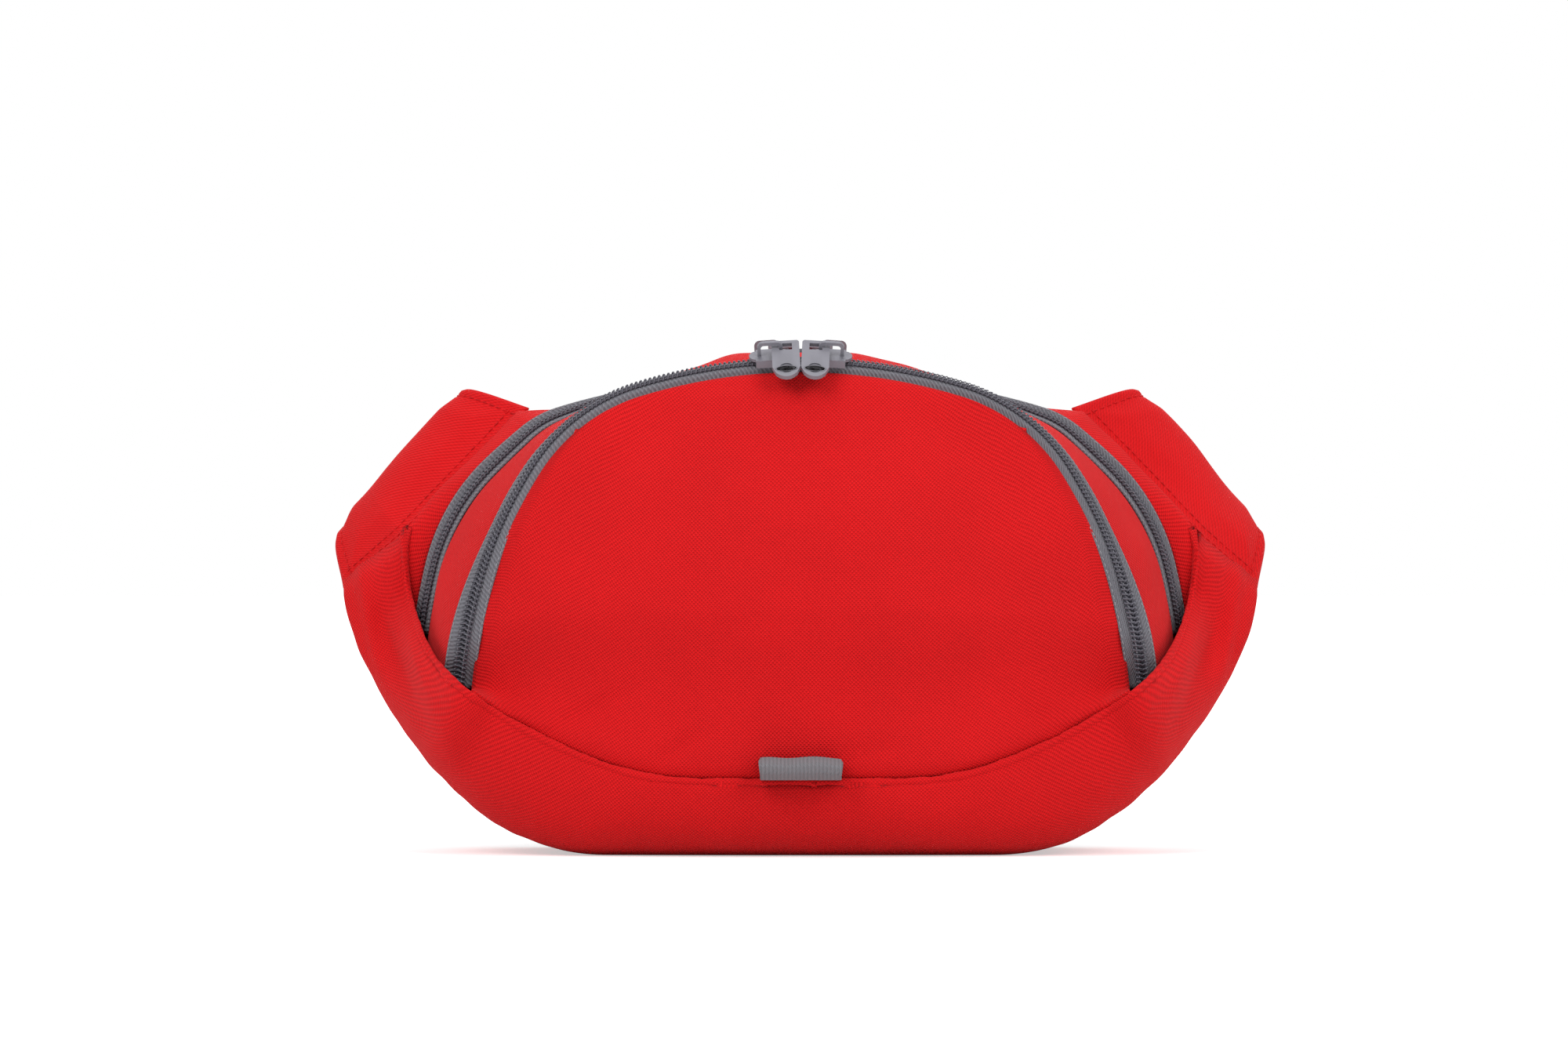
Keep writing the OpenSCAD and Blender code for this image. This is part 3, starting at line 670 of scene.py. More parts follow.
def coil_half(name, at, side, s_end, body, node=None, phase=0.0, share=1.0):
    """Half of a zip's coil: an oval helix of nylon wire with its core cord and a row of thread."""
    pitch, steps = 1.5, 12
    turns = int(2 * s_end / pitch)
    path = []
    for k in range(turns * steps + 1):
        a = 2 * math.pi * k / steps
        s = -s_end + (k / steps + phase) * pitch
        reach = share * coil_half_width(s)
        w = side * (0.5 * reach - 0.05 + 0.52 * reach * math.cos(a))
        path.append(at(s, w, 1.0 + 0.45 * math.sin(a)))
    core = [at(s, side * 0.55 * share * coil_half_width(s), 0.95) for s in spread(-s_end, s_end, 200)]
    tubes = [tube_rings(path, 0.37, 6, (0.3, 1, 0.2)), tube_rings(core, 0.36, 6, (0.3, 1, 0.2))]
    piece = tubes_piece(name, tubes, COIL, body)
    if node:
        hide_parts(node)
    places = spread(-s_end + 1, s_end - 1, 300)
    spots = [at(s, side * 0.62 * share * coil_half_width(s), 1.72) for s in places]
    outs = [at(s, 0, 1) - at(s, 0, 0) for s in places]
    thread = stitch_rings(spots, outs, pitch=pitch, gap=0.75, radius=0.2)
    tubes_piece(name + "_thread", thread, COIL_THREAD, body)


def middle_gusset():
    """Cloth between the two zips; its crown hides the rear zip from the front near the top."""
    rows = []
    for u in spread(-1, 1, 181):
        s = u * (REAR_END + 6)
        s_main = u * (MAIN_END + 12)
        a = bent_strip(main_zip, s_main, HALF_ZIP - 1, outer_bend(s_main))
        a = a + main_zip(s_main, 0, PANEL_H) - main_zip(s_main, 0, TAPE_H)
        b = rear_zip(s, -HALF_ZIP + 1.6, PANEL_H + 0.4)
        nx, nz = chain_at(MAIN_CHAIN, u * MAIN_END)[2:]
        crown = mix(4.2, 1.8, smooth((abs(s) - 16) / 26)) + 1.4 * smooth((abs(s) - 80) / 30)
        row = []
        for f in spread(0, 1, 17):
            wave = 0.5 * ripple(u * MAIN_END, f * 30, 14, 5) * math.sin(math.pi * f)
            out = crown * math.sin(math.pi * f) ** 0.8 + wave
            row.append(mix(a, b, f) + out * np.array((nx, 0, nz)))
        rows.append(row)
    piece = cloth("middle_gusset_cloth", rows, RED_CLOTH, "root", "red_cloth", CLOTH_T, "middle_gusset")
    2 * MAIN_END * MM


def to_wing_seam(x, z):
    """Distance from a point to the wing's seam line seen from the front, and the seam's depth there."""
    best = (1e9, 0.0)
    for a, b in zip(WING_SEAM, WING_SEAM[1:]):
        for f in spread(0, 1, 40):
            p = mix(a, b, f)
            d = math.hypot(p[0] - abs(x), p[2] - z)
            if d < best[0]:
                best = (d, p[1])
    return best


STRIP_TOP = 141.5


def rear_gusset():
    """Cloth from the rear zip to the back: beside each wing it faces the front up to the wing's seam."""
    rows = []
    back_cut = BACK_END - 6
    bend = 0.36              # share of the way to the back at which the cloth turns
    for u in spread(-1, 1, 181):
        s = u * (REAR_END + 6)
        a = bent_strip(rear_zip, s, HALF_ZIP - 1.2, rear_bend(s)) + np.array((0, 0.75, 0))
        nx, nz = chain_at(REAR_CHAIN, s)[2:]
        x, z = chain_at(BACK_CHAIN, u * back_cut)[:2]
        b = np.array((x, BACK_Y + 1.5, z))
        reach, seam_y = to_wing_seam(a[0], a[2])
        near = smooth((abs(s) - 62) / 22)
        out = np.array((nx, 0, nz))
        below_top = max(0, STRIP_TOP - a[2]) / max(nz, 0.2)
        m = a + near * min(reach + 1.2, 14, below_top) * out
        m[1] = mix(mix(a[1], b[1], 0.3), seam_y + 1.6, near)
        row = []
        for f in spread(0, 1, 25):
            wave = 0.4 * ripple(u * back_cut, f * 26, 13, 11) * math.sin(math.pi * f)
            if f < bend:
                g = f / bend
                spot = mix(a, m, g) - np.array((0, 1.1 * near * math.sin(math.pi * g), 0))
            else:
                spot = mix(m, b, (f - bend) / (1 - bend))
            row.append(spot + wave * out)
        rows.append(row)
    grid = np.array(rows)
    for _ in range(3):
        grid[:, 1:-1] += 0.4 * ((grid[:, :-2] + grid[:, 2:]) / 2 - grid[:, 1:-1])
    piece = cloth("rear_gusset_cloth", grid, RED_CLOTH, "root", "red_cloth", CLOTH_T, "rear_gusset")
    2 * back_cut * MM


def cradle_side(u, y):
    x, z = chain_at(OUTLINE_CHAIN, u * OUTLINE_END)[:2]
    return np.array((x, y, z))


def belly_y(u):
    """Depth at which the cradle turns from its underside to its front."""
    return mix(-27, 19, abs(u) ** 2.5)


def cradle_belly(u, f):
    low = cradle_side(u, belly_y(u))
    high = seam_point(u * SEAM_END, -0.6)
    flat = smooth((abs(u) - 0.7) / 0.3)
    mid = mix(low, high, mix(0.12, 0.5, flat))
    pull = np.array((mid[0], mix(low[1], high[1], mix(0.96, 0.5, flat)), mid[2]))
    return curve(low, pull, high, f)


# Creases of the cradle's ends: middle x and z, lean, half length, half width, height
CRADLE_FOLDS = ((-137, 72, 104, 17, 2.6, 1.6), (-130, 62, 118, 20, 3.2, -1.5), (137, 72, 76, 17, 2.6, 1.6),
                (130, 62, 62, 20, 3.2, -1.5), (-122, 64, 112, 16, 2.2, 0.7), (122, 64, 68, 16, 2.2, 0.7),
                (-112, 56, 124, 12, 2.4, 0.5), (112, 52, 58, 13, 2.4, 0.5))


# The cradle's ends rise this much behind the hems of the wings
END_TUCK = np.array((0, 2.2, 3.6))


def cradle_grid():
    columns = []
    for u in spread(-1, 1, 201):
        x, z = chain_at(BACK_LOW_CHAIN, u * BACK_LOW_END)[:2]
        back = np.array((x, BACK_Y + 1.4, z))
        side = cradle_side(u, 33)
        pull = np.array((side[0], BACK_Y + 0.8, side[2]))
        column = [curve(back, pull, side, f) for f in spread(0, 1, 6)]
        column += [cradle_side(u, mix(33, belly_y(u), f)) for f in spread(0.12, 0.9, 8)]
        column += [cradle_belly(u, f) for f in spread(0, 0.985, 26)]
        columns.append(column)
    grid = np.array(columns)
    eased(grid, 13, 18, 4)
    for i, column in enumerate(grid):
        for j, point in enumerate(column):
            if point[1] < 30:
                out = outward_of(grid, i, j)
                edge = smooth((len(column) - 1 - j) / 5)
                low = smooth(point[2] / 6)
                wave = 0.45 * ripple(point[0], point[2], 34, 21)
                wave += 0.2 * ripple(point[0] * 1.6, point[2], 9, 2)
                fold = 1.7 * fold_marks(point[0], point[2], CRADLE_FOLDS)
                columns[i][j] = point + out * low * edge * (wave + fold)
    for end in (columns[0], columns[-1]):
        for point in end:
            point += END_TUCK
    return np.array(columns)


def cradle_cloth():
    """Cradle of the bottom and sides; its front edge is turned over a soft bead."""
    grid = cradle_grid()
    bead = []
    for i, u in enumerate(spread(-1, 1, 201)):
        s = u * SEAM_END
        nx, nz = chain_at(SEAM_CHAIN, s)[2:]
        edge = seam_point(s, -0.6)
        before = grid[i, -2]
        along = edge - before
        along /= np.linalg.norm(along)
        across = np.cross(np.array((nz, 0, -nx)), along)
        across /= np.linalg.norm(across)
        across = across if across[1] < 0 else -across
        pucker = 1 + 0.16 * ripple(s, 0, 5.5, 31) + 0.08 * math.sin(s * 2.1)
        centre = edge - along * 1.5 - across * 0.9
        centre = centre + (END_TUCK if abs(u) == 1 else 0)
        bead.append([centre + 1.25 * pucker * (math.sin(t) * along + math.cos(t) * across)
                     for t in spread(-0.9, 2.6, 10)])
    joined = np.concatenate([grid[:, :-1], np.array(bead)], axis=1)
    piece = cloth("cradle_cloth", joined, RED_CLOTH, "root", "red_cloth", CRADLE_T - 0.4,
                  "cradle_left", "cradle_middle", "cradle_right")
    2 * OUTLINE_END * MM


def main_bend(s):
    """How far the inner tape of the main zip turns to the front beside its coil, in degrees."""
    return mix(46, 12, smooth((abs(s) - 60) / 80))


def outer_bend(s):
    """How far the outer tape of the main zip turns to the front: it turns back over the top."""
    return -28 * (1 - smooth((abs(s) - 60) / 50))


def rear_bend(s):
    """How far the outer tape of the rear zip turns to the front beside its coil, in degrees."""
    return mix(8, 40, smooth((abs(s) - 50) / 30)) * (1 - 0.6 * smooth((abs(s) - 100) / 60))


front_cloth()
tape("main_tape_inner", main_zip, -1, HALF_ZIP, MAIN_END - 1, "flap", main_bend)
tape("main_tape_outer", main_zip, 1, HALF_ZIP, MAIN_END + 1, "root", outer_bend)
tape("rear_tape_inner", rear_zip, -1, 3.4, REAR_END + 4, "root")
tape("rear_tape_outer", rear_zip, 1, HALF_ZIP - 0.8, REAR_END + 4, "root", rear_bend)
coil_half("main_coil_inner_helix", main_zip, -1, MAIN_END - 1, "flap", "main_coil_inner")
coil_half("main_coil_outer_helix", main_zip, 1, MAIN_END + 1, "root", "main_coil_outer", 0.5)
coil_half("rear_coil_inner_helix", rear_zip, -1, REAR_END + 3, "root", "rear_coil", share=0.75)
coil_half("rear_coil_outer_helix", rear_zip, 1, REAR_END + 3, "root", None, 0.5, 0.75)
middle_gusset()
rear_gusset()
cradle_cloth()


# ---------------------------------------------------------------- padded wings and back pad
WING_BEND = 0.7
WING_ROWS = np.array((((109.4, 36, 149.6), (151.4, 36, 101.8)), ((104.5, 62, 144), (143, 60, 101.5)),
                      ((93, 84, 137.5), (117, 84, 106.5))), dtype=float)
WING_T = 5
HEM = 3.0                # from a wing's edge to its row of stitches


def wing_seam_at(p):
    if p < WING_BEND:
        return mix(WING_SEAM[0], WING_SEAM[1], p / WING_BEND)
    return mix(WING_SEAM[1], WING_SEAM[2], (p - WING_BEND) / (1 - WING_BEND))


def through(a, b, c, d, f):
    """Catmull-Rom curve from b to c."""
    return 0.5 * (2 * b + (c - a) * f + (2 * a - 5 * b + 4 * c - d) * f * f
                  + (3 * b - a - 3 * c + d) * f ** 3)


def wing_point(p, q):
    k = [wing_seam_at(p)] + [mix(row[0], row[1], p) for row in WING_ROWS]
    i = min(int(q * 3), 2)
    before = 2 * k[0] - k[1] if i == 0 else k[i - 1]
    after = 2 * k[3] - k[2] if i == 2 else k[i + 2]
    return through(before, k[i], k[i + 1], after, q * 3 - i)


def pad_shell(name, face, middle_depth, half, material, body):
    """Closed pad round a grid of points: face lies middle_depth above the middle of the pad, and
    half[i][j] is half its thickness."""
    n, m = face.shape[:2]
    normals = np.array([[outward_of(face, i, j) for j in range(m)] for i in range(n)])
    middle = face - middle_depth * normals
    front = middle + half[:, :, None] * normals
    back = middle - half[:, :, None] * normals
    loop = [(i, 0) for i in range(n)] + [(n - 1, j) for j in range(1, m)]
    loop += [(i, m - 1) for i in range(n - 2, -1, -1)] + [(0, j) for j in range(m - 2, 0, -1)]
    mesh = grid_mesh(name, front)
    bm = bmesh.new()
    bm.from_mesh(mesh)
    layer = bm.loops.layers.uv["weave"]
    bm.verts.ensure_lookup_table()
    uv = [None] * (n * m)
    for f in bm.faces:
        for corner in f.loops:
            uv[corner.vert.index] = corner[layer].uv.copy()
    low = [bm.verts.new(p * MM) for p in back.reshape(-1, 3)]
    bm.verts.ensure_lookup_table()
    made = []
    for i in range(n - 1):
        for j in range(m - 1):
            ids = (i * m + j, i * m + j + 1, (i + 1) * m + j + 1, (i + 1) * m + j)
            made.append((bm.faces.new([low[k] for k in ids]), ids))
    for a, b in zip(loop, loop[1:] + loop[:1]):
        ids = (a[0] * m + a[1], b[0] * m + b[1], b[0] * m + b[1], a[0] * m + a[1])
        made.append((bm.faces.new((bm.verts[ids[0]], low[ids[0]], low[ids[1]], bm.verts[ids[1]])),
                     (ids[0], ids[0], ids[1], ids[1])))
    for f, ids in made:
        for corner, k in zip(f.loops, ids):
            corner[layer].uv = uv[k]
    bmesh.ops.recalc_face_normals(bm, faces=bm.faces)
    bm.to_mesh(mesh)
    bm.free()
    return link(name, mesh, material, body), front, back


def wing(side, node):
    """Padded belt wing with turned hems, and rows of stitches along and across it."""
    ps, qs = spread(0, 1, 61), spread(0, 1, 81)
    face = np.array([[wing_point(p, q) for q in qs] for p in ps])
    rise = np.linalg.norm(face[-1] - face[0], axis=1)
    run = np.linalg.norm(np.diff(face, axis=1), axis=2).sum(axis=1)
    half = np.zeros(face.shape[:2])
    for i, p in enumerate(ps):
        for j, q in enumerate(qs):
            hem = min(p * rise[j], (1 - p) * rise[j], (1 - q) * run[i], q * run[i] * 0.8 + 0.4)
            pad = 1.05 + 1.75 * smooth((hem - HEM - 0.1) / 8) - 0.4 * bell(hem - HEM, 0.6)
            puff = 0.35 * ripple(p * 60, q * 90, 17, 4 * side) * smooth((hem - 4) / 6)
            half[i, j] = pad * smooth((hem + 0.5) / 1.3) + puff
    lean = np.array([[0.9 * ripple(p * 60, q * 90, 32, 9 * side) * smooth(min(p, 1 - p) * 8)
                      * smooth(q * 6) for q in qs] for p in ps])
    normals = np.array([[outward_of(face, i, j) for j in range(len(qs))] for i in range(len(ps))])
    face = (face + normals * lean[:, :, None]) * (side, 1, 1)
    if side < 0:
        face, half = face[::-1], half[::-1]
    name = "wing_right_pad" if side > 0 else "wing_left_pad"
    piece, front, back = pad_shell(name, face, WING_T / 2, half, RED_TWILL, "root")
    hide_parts(node)
    tubes = []
    along = np.linspace(1.5, 78, 150)
    last = len(ps) - 1
    top = HEM / rise.mean() * last
    for row in (top, last - top):
        tubes += surface_stitches(front, [(row, j) for j in along], 0.05, pitch=2.7)
        tubes += surface_stitches(back[::-1], [(last - row, j) for j in along], 0.05, pitch=2.7)
    for column, margin, count in ((1.6, 2, 90), (4.4, 2, 90), (62, 8, 80), (76, 8, 80)):
        line = [(i, column) for i in np.linspace(margin, last - margin, count)]
        tubes += surface_stitches(front, line, 0.05, pitch=2.7)
    tubes_piece(name + "_stitches", tubes, RED_THREAD, "root")


def back_grid(y, inset=0.0, across=121, up=61):
    """Grid over the outline of the bag's back at depth y, set in from its edge."""
    columns = []
    for u in spread(-1, 1, across):
        ends = []
        for chain, reach in ((BACK_LOW_CHAIN, BACK_LOW_END - BACK_LOW_CUT), (BACK_CHAIN, BACK_END)):
            x, z, nx, nz = chain_at(chain, u * reach)
            ends.append(np.array((x - inset * nx, y, z - inset * nz)))
        columns.append([mix(*ends, v) for v in spread(0, 1, up)])
    return np.array(columns)


def channel_x(z):
    """Half the distance between the two sewn channels of the back pad."""
    return 30 + 0.1 * (z - 60)


def back_pad():
    """Foam back pad under spacer mesh, with sewn channels."""
    grid = back_grid(0)[::-1]
    n, m = grid.shape[:2]
    half = np.zeros((n, m))
    for i in range(n):
        height = np.linalg.norm(grid[i, -1] - grid[i, 0])
        for j in range(m):
            x, _, z = grid[i, j]
            v = j / (m - 1)
            edge = min(v, 1 - v) * height
            side = (1 - abs(2 * i / (n - 1) - 1)) * 125
            d = min(edge, side)
            rib = abs(x) - channel_x(z)
            bar = z - 84 + 0.002 * x * x if abs(x) < 33 else 9
            groove = 2.6 * bell(rib, 2.4) + 1.9 * bell(bar, 2.2)
            crown = 5.9 * math.sqrt(max(smooth((d + 0.4) / 11), 0)) + 0.9 * smooth((d - 9) / 25)
            crown += 0.35 * ripple(x, z, 24, 6) * smooth((d - 4) / 10)
            half[i, j] = max(crown - groove * smooth((d - 2) / 6), 0.7)
            grid[i, j, 1] = 38.8 + half[i, j] / 2
    half = half / 2
    front = grid.copy()
    front[:, :, 1] += half
    piece = pad_shell("back_pad_cushion", grid, 0, half, BACK_MESH, "root")[0]
    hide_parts("back_pad")
    tubes = []
    for sign in (-1, 1):
        line = []
        for j in np.linspace(4, m - 5, 120):
            z = np.interp(j, range(m), grid[n // 2, :, 2])
            line.append((np.interp(-sign * channel_x(z), -grid[:, m // 2, 0], range(n)), j))
        tubes += surface_stitches(front, line, 0.05, pitch=3.0, radius=0.28)
    tubes_piece("back_pad_stitches", tubes, DARK_THREAD, "root")


def back_binding():
    """Woven tape bound over the raw edge all round the bag's back."""
    low_end = BACK_LOW_END - BACK_LOW_CUT
    loop = [chain_at(BACK_CHAIN, s) for s in spread(-BACK_END, BACK_END, 160)]
    loop += [chain_at(BACK_LOW_CHAIN, s) for s in spread(low_end, -low_end, 160)]
    loop.append(loop[0])
    rows = []
    for x, z, nx, nz in loop:
        row = []
        for t in np.linspace(-2.3, 2.3, 11):
            out, deep = 0.5 + 1.3 * math.cos(t), 1.9 * math.sin(t)
            row.append((x + out * nx, 38.6 + deep, max(z + out * nz, 1.4)))
        rows.append(row)
    cloth("back_binding", rows, BINDING, "root", "grey_webbing", 0.5)


def wall_sheet(node, grid, thickness, sway, length, seed):
    """Lining cloth over a flat grid, with soft waves about as long as the length."""
    for point in grid.reshape(-1, 3):
        point[1] += sway * ripple(point[0], point[2], length, seed)
    return cloth(node + "_cloth", grid, RED_LINING, "root", "red_lining", thickness, node)


def lining_sheets():
    piece = wall_sheet("back_lining", back_grid(38.0, 1.2, 81, 41), 0.4, 0.2, 20, 3)
    piece = wall_sheet("divider", back_grid(4.2, 12, 101, 51), 0.6, 0.22, 30, 13)


# ---------------------------------------------------------------- bands of webbing and elastic
def band(name, path, widths, thickness, material, body, node=None, across=9):
    """Strip along path whose half width vector is widths[i]."""
    rows = []
    for p, w in zip(path, widths):
        rows.append([np.asarray(p, float) + f * np.asarray(w, float) for f in spread(-1, 1, across)])
    piece = link(name, grid_mesh(name, rows), material, body)
    thicken(piece, thickness, 0.0)
    soften(piece, thickness * 0.3, 2, 50)
    if node:
        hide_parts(node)
    return np.array(rows)


STRAP_PULL = np.array(((104, 85, 121.2), (94, 97, 116), (66, BELT_Y, BELT_Z)), dtype=float)
LAYER = 3.1


def bezier(a, b, c, d, f):
    g = 1 - f
    return g ** 3 * a + 3 * g * g * f * b + 3 * g * f * f * c + f ** 3 * d


def strap(name, node, side, x_end, lift, x_bar, x_back):
    """Waist webbing from a wing's end, over a buckle bar and back on itself."""
    path, widths = [], []
    end = np.array((x_end, BELT_Y, BELT_Z), dtype=float)
    for f in spread(-0.08, 1, 60):
        point = bezier(*STRAP_PULL, end, f) + np.array((0, lift, 0))
        lean = mix(np.array((-0.612, 0, 0.79)), np.array((0, 0, 1.0)), smooth(f))
        path.append(point)
        widths.append(lean / np.linalg.norm(lean) * WEB_W / 2)
    up = np.array((0, 0, WEB_W / 2))
    for x in spread(x_end - 2, x_bar + 1, 10):
        path.append(np.array((x, BELT_Y + lift, BELT_Z)))
        widths.append(up)
    for t in spread(0, math.pi, 14):
        path.append(np.array((x_bar - LAYER * math.sin(t), BELT_Y + lift * math.cos(t), BELT_Z)))
        widths.append(up)
    for x in spread(x_bar + 1, x_back, 30):
        sag = 0.5 * math.sin((x - x_bar) / max(x_back - x_bar, 1) * math.pi) if lift < 0 else 0
        path.append(np.array((x, BELT_Y - lift + sag, BELT_Z)))
        widths.append(up)
    path, widths = np.array(path) * (side, 1, 1), np.array(widths) * (side, 1, 1)
    rows = band(name, path, widths, WEB_T, BELT_WEB, "root", node, across=11)
    # A sewn box with a cross in it, at these rows and places across the webbing
    near, far, low, high = 3, 13, 0.8, 9.2
    box = ((near, low, far, low, 12), (near, high, far, high, 12), (near, low, near, high, 24),
           (far, low, far, high, 24), (near, low, far, high, 24), (near, high, far, low, 24))
    tubes = []
    for i0, j0, i1, j1, count in box:
        line = [(mix(i0, i1, f), mix(j0, j1, f)) for f in spread(0, 1, count)]
        for lifted in (0.9, -0.9):
            tubes += surface_stitches(rows, line, lifted, pitch=2.6, radius=0.26)
    tubes_piece(name + "_stitches", tubes, DARK_THREAD, "root")


def rounded_path(points, radius):
    """Closed path through the corners given, each rounded to the radius."""
    p = np.asarray(points, dtype=float)
    path = []
    for i in range(len(p)):
        a = p[i - 1] - p[i]
        b = p[(i + 1) % len(p)] - p[i]
        a, b = a / np.linalg.norm(a) * radius, b / np.linalg.norm(b) * radius
        path += [curve(p[i] + a, p[i], p[i] + b, f) for f in spread(0, 1, 7)]
    path.append(path[0])
    return path


def bands():
    strap("strap_left_web", "strap_left", -1, 50, LAYER, 38, 51)
    strap("strap_right_web", "strap_right", 1, 44, -LAYER, 22.5, 82)
    half_y, half_z = 5.9, WEB_W / 2 + 1.7
    corners = [(50, BELT_Y + a * half_y, BELT_Z + b * half_z)
               for a, b in ((-1, -1), (1, -1), (1, 1), (-1, 1))]
    ring = rounded_path(corners, 2.2)
    band("keeper_elastic", ring, [(4, 0, 0)] * len(ring), 1.3, BLACK_CLOTH, "root",
         "strap_keeper")
    for k, x in enumerate((-54, -38, -14)):
        arc = [(x + 6.6 * math.sin(t), 2.1 - 6.6 * math.cos(t), 96) for t in spread(-1.55, 1.55, 30)]
        band(f"elastic_loop_{k}", arc, [(0, 0, 8)] * len(arc), 0.8, BLACK_CLOTH, "root",
             "elastic_loops" if k == 0 else None)
    hook = [(46.1, 5.3), (46.1, 9.1), (56.7, 9.1), (56.7, 5.3)]
    wrap = rounded_path([(x, y, 103.5) for x, y in hook], 1.2)
    band("scissor_elastic", wrap, [(0, 0, 3.5)] * len(wrap), 0.5, BLACK_CLOTH, "root",
         "scissor_loop")
    seam_loop()


def seam_loop():
    """Grey webbing folded into a flat loop in the bottom seam, with two rows of dark stitches."""
    z0, z1, y0, y1 = 25.9, 30.7, -48.2, -57.1
    corners = [(y0 + 1.5, z0 - 0.4), (y1 + 1.9, z0), (y1, z0 + 1.7), (y1, z1 - 1.7), (y1 + 1.9, z1),
               (y0, z1 - 0.2)]
    path = []
    for a, b in zip(corners, corners[1:]):
        path += [mix(np.array(a), np.array(b), f) for f in spread(0, 0.9, 6)]
    path.append(np.array(corners[-1]))
    rows = []
    for x in spread(-1, 1, 45):
        row = []
        for y, z in path:
            flare = 12.6 + 0.45 * smooth((z - z0) / 5) - 0.6 * smooth((z - 29.8) / 1.0)
            sag = 0.25 * math.sin(x * 5) - 0.35 * abs(x) ** 6
            row.append((x * flare, y + 0.3 * abs(x) ** 8, z + sag * smooth((z - z0) / 4)))
        rows.append(row[::-1])
    grid = np.array(rows)
    cloth("seam_loop_web", grid, LOOP_WEB, "root", "grey_webbing", 1.15, "webbing_loop")
    tubes = []
    for place in (0.40, 0.47):
        line = [(i, place * (len(path) - 1)) for i in np.linspace(1.2, 42.8, 80)]
        tubes += surface_stitches(grid, line, 0.05, pitch=1.9, gap=0.6, radius=0.2)
    tubes_piece("seam_loop_stitches", tubes, DARK_THREAD, "root")


# ---------------------------------------------------------------- what the flap and the wall carry
def pockets():
    """Mesh pocket inside the flap and organiser panel on the divider, each with a bound top."""
    rows = []
    for a in spread(-0.62, 0.62, 61):
        row = []
        for b in spread(0.08, 0.55, 31):
            pleat = 0.35 * math.sin(a * 40) * smooth((b - 0.2) / 0.3)
            row.append(flap_point(a, b) + np.array((0, 3.3 + pleat, 0)))
        rows.append(row)
    grid = np.array(rows)
    piece = cloth("mesh_pocket_net", grid, POCKET_NET, "flap", "pocket_mesh", 0.5, "mesh_pocket")
    top = grid[:, -1]
    band("mesh_pocket_elastic", top, [(0, 0.4, 3)] * len(top), 1.0, BLACK_CLOTH, "flap")
    rows = []
    for x in spread(-70, 70, 71):
        pleat = 0.25 * math.cos(x / 70 * 3 * math.pi)
        rows.append([(x, 3.1 + pleat * smooth((z - 66) / 20), z) for z in spread(62, 127, 27)])
    grid = np.array(rows)
    piece = cloth("organiser_cloth", grid, BINDING, "root", "pocket_mesh", 0.7, "organiser_panel")
    top = grid[:, -1] - np.array((0, 0.1, 1.2))
    band("organiser_binding", top, [(0, 0, 2.2)] * len(top), 1.3, BLACK_CLOTH, "root")


# ---------------------------------------------------------------- contents
def roll(name, node, x0, x1, y, z, radius, core, material, wrap=1.5, fuzz=0.25):
    """Rolled bandage along X: its windings show on both ends, and its loose end on the outside."""
    profile = [(x0, core)] + [(x0, r) for r in spread(core + 0.3, radius - 0.8, 26)]
    profile += [(x0 + 0.4, radius - 0.1)] + [(x, radius) for x in spread(x0 + 1.2, x1 - 1.2, 20)]
    profile += [(x1 - 0.4, radius - 0.1)] + [(x1, r) for r in spread(radius - 0.8, core + 0.3, 26)]
    profile += [(x1, core), (x0, core)]
    rows = []
    for k in range(73):
        t = 2 * math.pi * k / 72
        row = []
        for x, r in profile:
            turn = 2 * math.pi * r / wrap - t
            end = 1 if x > (x0 + x1) / 2 else -1
            inner = core + 0.5 < r < radius - 0.5
            dx = 0.35 * end * (math.sin(turn) - 1) if inner else 0
            out = r - (0.7 * (t / (2 * math.pi)) if r > radius - 1 else 0)
            out += fuzz * ripple(x, t * radius, 5, 3) if r > radius - 1 else 0
            row.append((x + dx, y + out * math.cos(t), z + out * math.sin(t)))
        rows.append(row)
    grid = np.array(rows)
    lowest = grid[:, :, 2].min()
    grid[:, :, 2] += max(0, (z - radius) - lowest)
    piece = link(name, grid_mesh(name, grid[::-1]), material, "root")
    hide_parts(node)


def pouch(name, low, high, material, rim, seed, wave=0.5):
    """Soft packet between two corners, thin along Y: a filled middle and a flat crimped rim."""
    low, high = np.array(low, float), np.array(high, float)
    size = high - low
    n, m = max(int(size[0] / 1.6), 12), max(int(size[2] / 1.6), 12)
    face, half = [], []
    for a in spread(0, 1, n):
        row, thick = [], []
        for b in spread(0, 1, m):
            x, z = low[0] + a * size[0], low[2] + b * size[2]
            d = min(a * size[0], (1 - a) * size[0], b * size[2], (1 - b) * size[2])
            body = smooth((d - rim) / min(size[0], size[2]) * 3.2) ** 0.6
            crimp = 0.12 * math.sin(2.8 * (x if b in (0, 1) else z)) if d < rim else 0
            t = 0.25 + (size[1] / 2 - 0.6) * body + crimp * 0.5
            t += wave * 0.5 * ripple(x, z, 9, seed) * body
            slack = 0.35 * ripple(x, z, 26, seed + 5) * (1 - body)
            row.append((x, (low[1] + high[1]) / 2 + slack, z))
            thick.append(min(max(t, 0.2), size[1] / 2))
        face.append(row)
        half.append(thick)
    return pad_shell(name, np.array(face), 0, np.array(half), material, "root")[0]


